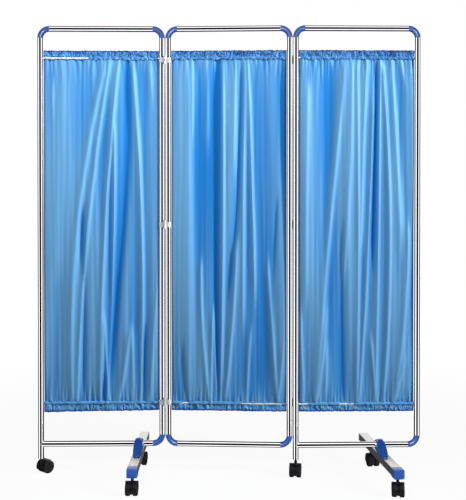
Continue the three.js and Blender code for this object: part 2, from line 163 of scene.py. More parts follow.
# T feet
LEG_WIDTH = 0.035
LEG_HEIGHT = 0.030
LEG_WALL = 0.0015
LEG_CORNER = 0.003
CAP_WALL = 0.0017
CAP_LENGTH = 0.037
CAP_END = 0.004
CAP_BEVEL_STEPS = 4
CAP_BEVEL_ANGLE = math.radians(60)
CLAMP_WIDTH = 0.033
CLAMP_NOSE = 0.101
CLAMP_TAIL = 0.058
HUMP_WALL = 0.0095
NOSE_HEIGHT = 0.0045
NOSE_ROUND = 0.042
TAIL_ROUND = 0.040
HUMP_ARCH = 0.017
NOSE_LEAD = 0.045
TAIL_LEAD = 0.018
SHOULDER_ANGLE = math.radians(30)
CLAMP_VOXEL = 0.0008
CLAMP_SMOOTHING_SHARE = 0.5
CLAMP_SMOOTHINGS = 6
BOLT_RADIUS = 0.004
BOLT_HEAD_RADIUS = 0.0078
BOLT_HEAD_HEIGHT = 0.0045
BOLT_HEAD_SIDES = 6
BOLT_REACH = 0.009
SOCKET_LENGTH = 0.026
BOSS_RADIUS = 0.0087

# Casters
CASTER_MOUNT = 0.060
WHEEL_WIDTH = 0.0166
WHEEL_EDGE = 0.0042
DISH_RADIUS = 0.0170
DISH_DEPTH = 0.0016
HUB_RADIUS = 0.0062
HUB_RISE = 0.0014
AXLE_RADIUS = 0.0035
WEB_WIDTH = 0.010
WHEEL_GAP = 0.0008
TRAIL = 0.022
HOOD_GAP = 0.001
HOOD_WALL = 0.0016
HOOD_START = math.radians(-20)
HOOD_END = math.radians(108)
NECK_RADIUS = 0.0054
STEM_RADIUS = 0.005
STEM_LENGTH = 0.024
POST_SOCKET_LENGTH = 0.030
HOUSING_HUB = 0.0205
HOOD_STEPS = 24

# Camera: nearly level, above the middle of the curtains, with the frame shifted down to the feet
IMAGE_HEIGHT_PX = 500
FOCAL_PX = 864.4
HORIZON_PX = 180.9
SENSOR_WIDTH = 36
CAMERA_PLACE = (0.0212, -3.295, 1.125)
CAMERA_PITCH = math.radians(0.6)

# How deep the fine relief of each finish is
BRUSHING_RELIEF = 0.00003
STEEL_RELIEF = 0.00004
BLUE_RELIEF = 0.00003
BLACK_RELIEF = 0.00005
TREAD_RELIEF = 0.00006
COAT_RELIEF = 0.00003
WEAVE_RELIEF = 0.00006

# The floor, which turns white to the camera with the distance from the screen
FLOOR_HALF = 9
FLOOR_FADE = (0.9, 2.6)
FLOOR_WHITE_SHARES = (0.94, 1)

# Lamps: where each is, where it points, its width and height, its power, and whether gloss shows it
Lamp = namedtuple("Lamp", "place aim size power seen")
LAMPS = {
    "key": Lamp((4.4, -2.1, 2.4), (-1.3, 0, 1.35), (0.6, 2.0), 74, True),
    "top": Lamp((-0.55, -1.3, 2.4), (-0.2, 0, 1.2), (1.4, 0.3), 32, False),
    "back": Lamp((-2.2, 3.6, 2.3), (0.2, 0, 0.9), (1.6, 1.6), 150, False),
    "front": Lamp((0.3, -4.0, 1.3), (0, 0, 0.9), (1.2, 1.6), 180, True),
}
KEY_SPREAD = math.radians(80)

# The black flags that tubes reflect, by how far behind the screen their direction points, from -1 to 1
FRONT_FLAG = (-0.80, -0.73)
RING_FLAG_START = (-0.36, -0.20)
RING_FLAG_END = (0.76, 0.86)
RING_FLAG_TOP = (0.05, 0.15)

PANELS = ("left", "middle", "right")


class Channel:
    """A shader value that Python's own operators work on."""

    def __init__(self, nodes, socket):
        self.nodes = nodes
        self.socket = socket

    def maths(self, operation, first, second):
        return self.nodes.add("ShaderNodeMath", {"operation": operation}, {0: first, 1: second})

    def __add__(self, other):
        return self.maths("ADD", self, other)

    def __radd__(self, other):
        return self.maths("ADD", other, self)

    def __rsub__(self, other):
        return self.maths("SUBTRACT", other, self)

    def __mul__(self, other):
        return self.maths("MULTIPLY", self, other)

    def __rmul__(self, other):
        return self.maths("MULTIPLY", other, self)


class Nodes:
    """A node tree that grows by one method."""

    def __init__(self, tree):
        self.tree = tree

    def add(self, kind, settings=None, sockets=None, output=0):
        node = self.tree.nodes.new(kind)
        for key, value in (settings or {}).items():
            setattr(node, key, value)
        for key, value in (sockets or {}).items():
            self.feed(node.inputs[key], value)
        return Channel(self, node.outputs[output]) if node.outputs else None

    def feed(self, socket, value):
        if isinstance(value, Channel):
            self.tree.links.new(value.socket, socket)
        else:
            socket.default_value = value

    def noise(self, where, scale, detail):
        return self.add(
            "ShaderNodeTexNoise", sockets={"Vector": where, "Scale": scale, "Detail": detail},
        )

    def stretched(self, where, scales):
        return self.add("ShaderNodeVectorMath", {"operation": "MULTIPLY"}, {0: where, 1: scales})

    def mixed(self, share, first, second):
        sockets = {0: share, 6: first, 7: second}
        return self.add("ShaderNodeMix", {"data_type": "RGBA"}, sockets, output=2)

    def span(self, value, low, high, start=0, end=1):
        sockets = {0: value, 1: low, 2: high, 3: start, 4: end}
        return self.add("ShaderNodeMapRange", {"interpolation_type": "SMOOTHSTEP"}, sockets)

    def bump(self, height, distance, strength):
        sockets = {"Height": height, "Distance": distance, "Strength": strength}
        return self.add("ShaderNodeBump", sockets=sockets)

    def object_point(self):
        return self.add("ShaderNodeTexCoord", output=3)

    def cloth_point(self):
        return self.add("ShaderNodeTexCoord", output=2)


class Finish(Nodes):
    """A material with one Principled shader; constants go straight on its sockets."""

    def __init__(self, name, **constants):
        self.material = bpy.data.materials.new(name)
        self.material.use_nodes = True
        super().__init__(self.material.node_tree)
        self.shader = self.tree.nodes["Principled BSDF"]
        for socket, value in constants.items():
            self.set(socket.replace("_", " "), value)

    def set(self, socket, value):
        self.feed(self.shader.inputs[socket], value)


def colour(red, green, blue):
    return (red, green, blue, 1)


def polished_steel():
    finish = Finish("polished_steel", Metallic=1)
    where = finish.object_point()
    smears = finish.noise(where, 9, detail=4)
    finish.set("Base Color", finish.mixed(smears, colour(0.93, 0.93, 0.94), colour(0.97, 0.97, 0.97)))
    finish.set("Roughness", 0.02 + 0.03 * smears)
    return finish.material


def leg_steel():
    finish = Finish("leg_steel", Metallic=1)
    where = finish.object_point()
    brushing = finish.noise(finish.stretched(where, (1400, 30, 1400)), 1, detail=4)
    scuffs = finish.noise(where, 45, detail=5)
    finish.set("Base Color", finish.mixed(scuffs, colour(0.48, 0.48, 0.47), colour(0.57, 0.56, 0.55)))
    finish.set("Roughness", 0.2 + 0.14 * brushing + 0.05 * scuffs)
    finish.set("Normal", finish.bump(brushing, BRUSHING_RELIEF, 0.5))
    return finish.material


def plain_steel():
    finish = Finish("plain_steel", Metallic=0.6)
    where = finish.object_point()
    grain = finish.noise(finish.stretched(where, (700, 700, 2200)), 1, detail=3)
    finish.set("Base Color", finish.mixed(grain, colour(0.66, 0.66, 0.65), colour(0.80, 0.80, 0.79)))
    finish.set("Roughness", 0.40 + 0.12 * grain)
    finish.set("Normal", finish.bump(grain, STEEL_RELIEF, 0.4))
    return finish.material


def blue_plastic():
    finish = Finish("blue_plastic", Coat_Roughness=0.12, IOR=1.5)
    where = finish.object_point()
    clouds = finish.noise(where, 60, detail=3)
    grain = finish.noise(where, 2600, detail=2)
    finish.set("Base Color", finish.mixed(clouds, colour(0.011, 0.070, 0.330), colour(0.016, 0.085, 0.380)))
    finish.set("Roughness", 0.3 + 0.12 * grain + 0.05 * clouds)
    finish.set("Coat Weight", 0.3 + 0.2 * clouds)
    finish.set("Normal", finish.bump(grain, BLUE_RELIEF, 0.35))
    return finish.material


def black_plastic():
    finish = Finish("black_plastic", IOR=1.3)
    where = finish.object_point()
    grain = finish.noise(where, 2200, detail=2)
    dust = finish.noise(where, 120, detail=5)
    finish.set("Base Color", finish.mixed(dust, colour(0.005, 0.005, 0.006), colour(0.011, 0.011, 0.013)))
    finish.set("Roughness", 0.36 + 0.16 * grain)
    finish.set("Normal", finish.bump(grain, BLACK_RELIEF, 0.4))
    return finish.material


def tread():
    finish = Finish("tread", IOR=1.3)
    where = finish.object_point()
    grain = finish.noise(where, 1500, detail=3)
    dust = finish.span(finish.noise(where, 75, detail=5), 0.5, 0.75)
    finish.set("Base Color", finish.mixed(dust, colour(0.007, 0.007, 0.009), colour(0.018, 0.018, 0.020)))
    finish.set("Roughness", 0.42 + 0.2 * grain + 0.12 * dust)
    finish.set("Normal", finish.bump(grain, TREAD_RELIEF, 0.5))
    return finish.material


def white_coat():
    finish = Finish("white_coat", IOR=1.5)
    where = finish.object_point()
    peel = finish.noise(where, 900, detail=2)
    finish.set("Base Color", finish.mixed(peel, colour(0.80, 0.80, 0.79), colour(0.86, 0.86, 0.86)))
    finish.set("Roughness", 0.28 + 0.12 * peel)
    finish.set("Normal", finish.bump(peel, COAT_RELIEF, 0.4))
    return finish.material


def satin_cloth():
    finish = Finish("satin_cloth", Sheen_Weight=0.08, Sheen_Roughness=0.35, IOR=1.62)
    finish.set("Specular Tint", colour(0.27, 0.60, 1))
    finish.set("Sheen Tint", colour(0.27, 0.60, 1))
    sheet = finish.stretched(finish.cloth_point(), (CLOTH_FLAT[0], CLOTH_FLAT[1], 0))
    ends = finish.add(
        "ShaderNodeTexWave",
        {"wave_type": "BANDS", "bands_direction": "DIAGONAL"},
        {"Vector": sheet, "Scale": 420, "Distortion": 0.4, "Detail": 1},
    )
    slubs = finish.noise(finish.stretched(sheet, (900, 24, 1)), 1, detail=3)
    clouds = finish.noise(finish.stretched(sheet, (7, 2.4, 1)), 1, detail=3)
    dyed = finish.mixed(clouds, colour(0.122, 0.335, 0.595), colour(0.146, 0.370, 0.640))
    woven = finish.mixed(slubs * 0.25, dyed, colour(0.095, 0.31, 0.58))
    # Painted shade: a deeper, darker blue in the recesses between the folds, read from the mesh
    painted_fold_shade = finish.add("ShaderNodeAttribute", {"attribute_name": "painted_fold_shade"}, output=2)
    # Painted shade: near navy along the curtains' edges, and partly over the top frills
    hem = finish.add("ShaderNodeAttribute", {"attribute_name": "hem"}, output=2)
    painted_fold_shaded = finish.mixed(painted_fold_shade, woven, colour(0.012, 0.185, 0.560))
    finish.set("Base Color", finish.mixed(hem, painted_fold_shaded, colour(0.0005, 0.022, 0.300)))
    finish.set("Roughness", 0.40 + 0.08 * slubs + 0.04 * ends)
    finish.set("Normal", finish.bump(ends * 0.6 + slubs * 0.4, WEAVE_RELIEF, 0.3))
    return finish.material


def mesh_of(form):
    mesh = bpy.data.meshes.new("form")
    form.to_mesh(mesh)
    form.free()
    return mesh


def closed_mesh(form):
    """A form's mesh, its seams merged, its faces outwards and in an order that every run repeats."""
    bmesh.ops.remove_doubles(form, verts=form.verts, dist=MERGE_GAP)
    bmesh.ops.recalc_face_normals(form, faces=form.faces)
    form.verts.index_update()
    points = [vertex.co[:] for vertex in form.verts]
    corners = []
    for face in form.faces:
        loop = [vertex.index for vertex in face.verts]
        first = loop.index(min(loop))
        corners.append(loop[first:] + loop[:first])
    form.free()
    mesh = bpy.data.meshes.new("form")
    mesh.from_pydata(points, [], sorted(corners))
    return mesh


def turned(profile, steps=TUBE_SIDES, closed=False):
    """A profile of (radius, height) pairs turned about Z."""
    form = bmesh.new()
    points = [form.verts.new((radius, 0, height)) for radius, height in profile]
    ring = [*points, points[0]] if closed else points
    edges = [form.edges.new(pair) for pair in zip(ring, ring[1:])]
    bmesh.ops.spin(
        form, geom=points + edges, cent=(0, 0, 0), axis=(0, 0, 1),
        angle=2 * math.pi, steps=steps, use_merge=True,
    )
    return closed_mesh(form)


def rod(radius, low, high, steps=TUBE_SIDES):
    return turned([(0, low), (radius, low), (radius, high), (0, high)], steps)


def pipe(outer, inner, low, high):
    return turned([(inner, low), (outer, low), (outer, high), (inner, high)], closed=True)


def swept(outline, angle, steps):
    """A closed outline of (radius, height) pairs swept about Z from +X, with both ends closed."""
    form = bmesh.new()
    points = [form.verts.new((radius, 0, height)) for radius, height in outline]
    face = form.faces.new(points)
    bmesh.ops.spin(
        form, geom=[face], cent=(0, 0, 0), axis=(0, 0, 1), angle=angle, steps=steps, use_duplicate=False,
    )
    return closed_mesh(form)


def extruded(outline, depth):
    """An outline in X and Y raised along Z."""
    form = bmesh.new()
    face = form.faces.new([form.verts.new((x, y, 0)) for x, y in outline])
    raised = bmesh.ops.extrude_face_region(form, geom=[face])["geom"]
    tops = [item for item in raised if isinstance(item, bmesh.types.BMVert)]
    bmesh.ops.translate(form, vec=(0, 0, depth), verts=tops)
    return closed_mesh(form)


def block(width, depth, height):
    form = bmesh.new()
    bmesh.ops.create_cube(form, size=1)
    bmesh.ops.scale(form, vec=(width, depth, height), verts=form.verts)
    return mesh_of(form)


def moved(mesh, *steps):
    """The mesh after each matrix, the first one first."""
    for step in steps:
        mesh.transform(step)
    return mesh


def shift(x, y, z):
    return Matrix.Translation((x, y, z))


def turn(degrees, axis):
    return Matrix.Rotation(math.radians(degrees), 4, axis)


def arc(centre, radius, start, end, steps):
    """Points round a centre, from one angle to another; radius may be a pair for an ellipse."""
    across, up = radius if isinstance(radius, tuple) else (radius, radius)
    angles = [start + (end - start) * i / steps for i in range(steps + 1)]
    return [(centre[0] + across * math.cos(a), centre[1] + up * math.sin(a)) for a in angles]


def curve(start, handle, end, steps):
    """Points of a quadratic curve, without its start."""
    points = []
    for i in range(1, steps + 1):
        t = i / steps
        points.append(tuple(
            (1 - t) ** 2 * a + 2 * t * (1 - t) * h + t ** 2 * b for a, h, b in zip(start, handle, end)
        ))
    return points


def finished(mesh, modifiers):
    """The mesh with modifiers applied: each one a type and its settings."""
    holder = bpy.data.objects.new("holder", mesh)
    bpy.context.scene.collection.objects.link(holder)
    for kind, settings in modifiers:
        modifier = holder.modifiers.new(kind.title(), kind)
        for key, value in settings.items():
            setattr(modifier, key, value)
    graph = bpy.context.evaluated_depsgraph_get()
    result = bpy.data.meshes.new_from_object(holder.evaluated_get(graph))
    bpy.data.objects.remove(holder)
    return result


def carved(mesh, cutters, operation="DIFFERENCE"):
    """The mesh after each cutter is taken from it, is joined to it, or keeps only what both fill."""
    tools = []
    for cutter in cutters:
        tool = bpy.data.objects.new("cutter", cutter)
        bpy.context.scene.collection.objects.link(tool)
        tools.append(tool)
    steps = [("BOOLEAN", {"operation": operation, "object": tool, "solver": "EXACT"}) for tool in tools]
    result = finished(mesh, steps)
    for tool in tools:
        bpy.data.objects.remove(tool)
    form = bmesh.new()
    form.from_mesh(result)
    bmesh.ops.remove_doubles(form, verts=form.verts, dist=MERGE_GAP)
    return mesh_of(form)


def piece(name, mesh, material, body, place=None, stands_for=(), rounding=0):
    """A finished piece in the frame's place, with smooth faces and softened edges, on its body."""
    if place is not None:
        mesh.transform(place)
    mesh.materials.clear()
    mesh.materials.append(material)
    mesh.shade_smooth()
    mesh.set_sharp_from_angle(angle=SHARP_ANGLE)
    made = bpy.data.objects.new(name, mesh)
    bpy.context.scene.collection.objects.link(made)
    if rounding:
        bevel = made.modifiers.new("Bevel", "BEVEL")
        bevel.width = rounding
        bevel.segments = EDGE_STEPS
        bevel.limit_method = "ANGLE"
        bevel.angle_limit = SOFTENED_ANGLE
        bevel.harden_normals = True
    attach(made, body)
    if stands_for:
        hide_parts(*stands_for)
    return made


def joint_place(name):
    return Vector(next(joint for joint in frame["joints"] if joint["name"] == name)["pos_m"])


def node_points(node):
    return [vertex.co for vertex in frame["nodes"][node].data.vertices]


def box_middle(points):
    return Vector(tuple((min(values) + max(values)) / 2 for values in zip(*points)))


def panel_place(panel):
    """A panel's own frame: X along it from the left, its tubes' plane at Y zero, the floor at Z zero."""
    points = node_points(f"{panel}_panel_curtain_rod_top")
    middle = box_middle(points)
    left = box_middle([p for p in points if p.x < middle.x])
    right = box_middle([p for p in points if p.x > middle.x])
    yaw = math.atan2(right.y - left.y, right.x - left.x)
    return shift(middle.x, middle.y, 0) @ Matrix.Rotation(yaw, 4, "Z")


def heights(node):
    low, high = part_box(node)
    return low.z, high.z


def foot_place(side):
    """A foot's own frame: its turning axis on Z, its front end towards -Y."""
    pivot = joint_place(f"{side}_foot_turn")
    front = joint_place(f"foot_{side}_front_caster_swivel")
    yaw = math.atan2(front.y - pivot.y, front.x - pivot.x) + math.pi / 2
    return shift(pivot.x, pivot.y, 0) @ Matrix.Rotation(yaw, 4, "Z")


def caster_place(name):
    """A caster's own frame: its swivel axis on Z, its axle behind, towards +Y."""
    pivot = joint_place(f"{name}_swivel")
    axle = joint_place(f"{name}_spin")
    yaw = math.atan2(axle.y - pivot.y, axle.x - pivot.x) - math.pi / 2
    return shift(pivot.x, pivot.y, 0) @ Matrix.Rotation(yaw, 4, "Z")


def grown(form, edges, factor, centre, offset):
    """New faces from a loop of edges, its copy scaled about a centre and moved."""
    extruded_edges = bmesh.ops.extrude_edge_only(form, edges=edges)["geom"]
    points = [item for item in extruded_edges if isinstance(item, bmesh.types.BMVert)]
    bmesh.ops.scale(form, vec=(factor,) * 3, verts=points, space=Matrix.Translation(-centre))
    bmesh.ops.translate(form, vec=offset, verts=points)
    return [item for item in extruded_edges if isinstance(item, bmesh.types.BMEdge)]


def elbow_mesh():
    """A plug-in corner whose arms point along -X and -Z, with the tubes' centrelines crossing at zero."""
    form = bmesh.new()
    foot = Vector((0, 0, -BEND_RADIUS))
    end = Vector((-BEND_RADIUS, 0, 0))
    circle = bmesh.ops.create_circle(
        form, segments=TUBE_SIDES, radius=TUBE_RADIUS, matrix=Matrix.Translation(foot),
    )["verts"]
    ring = list(form.edges)
    bmesh.ops.spin(
        form, geom=circle + ring, cent=(-BEND_RADIUS, 0, -BEND_RADIUS), axis=(0, -1, 0),
        angle=math.pi / 2, steps=BEND_STEPS, use_duplicate=False,
    )
    shrink = (TUBE_BORE - FIT_GAP) / TUBE_RADIUS
    taper = 1 - SPIGOT_SHOULDER / TUBE_BORE
    for centre, outward in ((foot, Vector((0, 0, -1))), (end, Vector((-1, 0, 0)))):
        reach = TUBE_RADIUS * SPIGOT_RING_SHARE
        loop = [
            edge for edge in form.edges
            if edge.is_boundary and all((v.co - centre).length < reach for v in edge.verts)
        ]
        loop = grown(form, loop, shrink, centre, Vector())
        loop = grown(form, loop, 1, centre, outward * (SPIGOT_LENGTH - SPIGOT_SHOULDER))
        tip = centre + outward * (SPIGOT_LENGTH - SPIGOT_SHOULDER)
        loop = grown(form, loop, taper, tip, outward * SPIGOT_SHOULDER)
        bmesh.ops.holes_fill(form, edges=loop, sides=TUBE_SIDES)
    return closed_mesh(form)


CORNERS = {
    "top_right": (1, 1, 0),
    "bottom_right": (1, -1, 90),
    "bottom_left": (-1, -1, 180),
    "top_left": (-1, 1, 270),
}


def rod_bore(height, side):
    """The hole for a curtain rod's end, in a post on its own axis; side is where the curtain is."""
    bore = rod(ROD_RADIUS + FIT_GAP, 0, 2 * TUBE_RADIUS)
    return moved(bore, turn(90 * side, "Y"), shift(0, 0, height))


def build_posts(panel, place, finishes):
    rods = [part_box(f"{panel}_panel_curtain_rod_{end}") for end in ("bottom", "top")]
    rod_heights = [(low.z + high.z) / 2 for low, high in rods]
    for side, x, inward in (("left", -POST_SPACING / 2, 1), ("right", POST_SPACING / 2, -1)):
        node = f"{panel}_panel_post_{side}"
        low, high = heights(node)
        post = pipe(TUBE_RADIUS, TUBE_BORE, low, high)
        post = carved(post, [rod_bore(height, inward) for height in rod_heights])
        post = moved(post, shift(x, 0, 0))
        piece(
            f"{panel}_{side}_post", post, finishes["tube"], f"{panel}_panel", place,
            stands_for=(node,), rounding=EDGE_ROUND / 2,
        )


def weld_bead():
    """The bead round a rail's end where it meets a post on its left, whose axis is on Z."""
    section = arc((TUBE_RADIUS, 0), WELD_RADIUS, 0, 2 * math.pi, WELD_SIDES)[:-1]
    bead = moved(turned(section, 2 * TUBE_SIDES, closed=True), turn(90, "Y"))
    for vertex in bead.vertices:
        across = TUBE_RADIUS * vertex.co.y / math.hypot(vertex.co.y, vertex.co.z)
        seat = math.sqrt(max(TUBE_RADIUS ** 2 - across ** 2, 0))
        vertex.co.x += seat + FIT_GAP
    return bead


def build_rails(panel, place, finishes):
    for level in ("top", "bottom"):
        node = f"{panel}_panel_rail_{level}"
        low, high = heights(node)
        height = (low + high) / 2
        welded = level == "bottom" and panel != "middle"
        end = POST_SPACING / 2 - BEND_RADIUS - FIT_GAP
        start = -POST_SPACING / 2 if welded else -end
        rail = moved(pipe(TUBE_RADIUS, TUBE_BORE, start, end), turn(90, "Y"))
        if welded:
            cope = rod(TUBE_RADIUS + FIT_GAP, -2 * TUBE_RADIUS, 2 * TUBE_RADIUS)
            rail = carved(rail, [moved(cope, shift(-POST_SPACING / 2, 0, 0))])
            bead = moved(weld_bead(), shift(-POST_SPACING / 2, 0, height))
            piece(f"{panel}_weld", bead, finishes["plain"], f"{panel}_panel", place)
        rail = moved(rail, shift(0, 0, height))
        piece(
            f"{panel}_{level}_rail", rail, finishes["tube"], f"{panel}_panel", place,
            stands_for=(node,), rounding=EDGE_ROUND / 2,
        )


def build_elbows(panel, place, finishes):
    rail_heights = {1: heights(f"{panel}_panel_rail_top"), -1: heights(f"{panel}_panel_rail_bottom")}
    for corner, (side, level, angle) in CORNERS.items():
        node = f"{panel}_panel_elbow_{corner}"
        if node not in frame["nodes"]:
            continue
        height = sum(rail_heights[level]) / 2
        elbow = moved(elbow_mesh(), turn(angle, "Y"), shift(side * POST_SPACING / 2, 0, height))
        piece(
            f"{panel}_{corner}_corner", elbow, finishes["blue"], f"{panel}_panel", place,
            stands_for=(node,), rounding=EDGE_ROUND,
        )


def build_rods(panel, place, finishes):
    end = POST_SPACING / 2 - TUBE_RADIUS + ROD_SEAT
    for level in ("top", "bottom"):
        node = f"{panel}_panel_curtain_rod_{level}"
        low, high = heights(node)
        bar = moved(rod(ROD_RADIUS, -end, end, SMALL_SIDES), turn(90, "Y"), shift(0, 0, (low + high) / 2))
        piece(
            f"{panel}_{level}_rod", bar, finishes["white"], f"{panel}_panel", place,
            stands_for=(node,), rounding=EDGE_ROUND,
        )


def hinge_half(upper):
    """Half a hinge on a post whose neighbour is to the right and whose pin is in front."""
    reach = TUBE_RADIUS + LEAF_SEAT
    outline = [
        (reach, -LEAF_HEIGHT / 2),
        (reach + LEAF_THICKNESS, -LEAF_HEIGHT / 2),
        (reach + LEAF_THICKNESS, LEAF_HEIGHT / 2),
        (reach, LEAF_HEIGHT / 2),
    ]
    pin_x = TUBE_RADIUS + HINGE_GAP / 2
    offset = TUBE_RADIUS + LEAF_THICKNESS + LEAF_GAP
    leaf_end = -math.acos((pin_x - LEAF_GAP) / (reach + LEAF_THICKNESS))
    leaf = moved(
        swept(outline, LEAF_WRAP_ANGLE, SMALL_SIDES),
        Matrix.Rotation(leaf_end - LEAF_WRAP_ANGLE, 4, "Z"),
    )
    side = 1 if upper else -1
    web_start = reach + LEAF_THICKNESS / 2
    web_length = math.hypot(pin_x, offset) - web_start
    web_height = LEAF_HEIGHT / 2 - FIT_GAP
    web = moved(
        block(web_length, WEB_THICKNESS, web_height),
        shift(web_start + web_length / 2, 0, side * (FIT_GAP + web_height) / 2),
        Matrix.Rotation(-math.atan2(offset, pin_x), 4, "Z"),
    )
    barrel_height = (BARREL_HEIGHT - FIT_GAP) / 2
    barrel = moved(
        rod(BARREL_RADIUS, -barrel_height / 2, barrel_height / 2, ROUND_SIDES),
        shift(pin_x, -offset, side * (FIT_GAP + barrel_height) / 2),
    )
    joined = carved(leaf, [web, barrel], "UNION")
    bore = rod(PIN_RADIUS + FIT_GAP, -BARREL_HEIGHT, BARREL_HEIGHT, ROUND_SIDES)
    bore = moved(bore, shift(pin_x, -offset, 0))
    return carved(joined, [bore])


def screw_mesh():
    """A slotted round head that stands on a post's front, its axis towards -Y."""
    across, up = SCREW_CROWN_SHARES
    head = turned([
        (0, 0),
        (SCREW_RADIUS, 0),
        (SCREW_RADIUS, SCREW_HEIGHT * SCREW_RIM_SHARE),
        (SCREW_RADIUS * across, SCREW_HEIGHT * up),
        (0, SCREW_HEIGHT),
    ], SMALL_SIDES)
    slot = moved(block(3 * SCREW_RADIUS, SCREW_SLOT, SCREW_HEIGHT), shift(0, 0, SCREW_HEIGHT))
    return moved(carved(head, [slot]), turn(90, "X"))


def pin_mesh():
    end = BARREL_HEIGHT / 2
    return turned([
        (0, -end),
        (PIN_RADIUS, -end),
        (PIN_RADIUS, end + FIT_GAP),
        (PIN_HEAD_RADIUS, end + FIT_GAP),
        (PIN_HEAD_RADIUS, end + FIT_GAP + PIN_HEAD_HEIGHT / 2),
        (PIN_HEAD_RADIUS / 2, end + FIT_GAP + PIN_HEAD_HEIGHT),
        (0, end + FIT_GAP + PIN_HEAD_HEIGHT),
    ], ROUND_SIDES)


# Each hinge line: the joint, the panels on its left and right, the side of its pins, and who has the pins
HingeLine = namedtuple("HingeLine", "joint left right pin_side pin_body")
HINGE_LINES = (
    HingeLine("left_fold", "left", "middle", -1, "left_panel"),
    HingeLine("right_fold", "middle", "right", 1, "middle_panel"),
)


def on_post(mesh, side, pin_side, height):
    """A hinge's mesh, made for a post on the left with its pin in front, mirrored onto its own post."""
    mesh = moved(
        mesh, Matrix.Scale(side, 4, (1, 0, 0)), Matrix.Scale(-pin_side, 4, (0, 1, 0)),
        shift(side * POST_SPACING / 2, 0, height),
    )
    if side == pin_side:
        mesh.flip_normals()
    return mesh


def build_hinges(places, finishes):
    screw_seat = TUBE_RADIUS + LEAF_SEAT + LEAF_THICKNESS
    for line in HINGE_LINES:
        pivot = joint_place(line.joint)
        for level in ("bottom", "middle", "top"):
            node = f"{line.joint.split('_')[0]}_hinge_pin_{level}"
            low, high = heights(node)
            height = low + BARREL_HEIGHT / 2
            for panel, side, upper in ((line.left, 1, False), (line.right, -1, True)):
                half = on_post(hinge_half(upper), side, line.pin_side, height)
                piece(
                    f"{panel}_{line.joint}_{level}_leaf", half, finishes["plain"], f"{panel}_panel",
                    places[panel], rounding=EDGE_ROUND / 2,
                )
                screw = moved(
                    screw_mesh(), shift(0, -screw_seat, 0),
                    Matrix.Rotation(SCREW_ANGLE + math.pi / 2, 4, "Z"),
                )
                screw = on_post(screw, side, line.pin_side, height)
                piece(
                    f"{panel}_{line.joint}_{level}_screw", screw, finishes["plain"], f"{panel}_panel",
                    places[panel],
                )
            pin = moved(pin_mesh(), shift(pivot.x, pivot.y, height))
            piece(
                f"{line.joint}_{level}_pin", pin, finishes["plain"], line.pin_body,
                stands_for=(node,),
            )


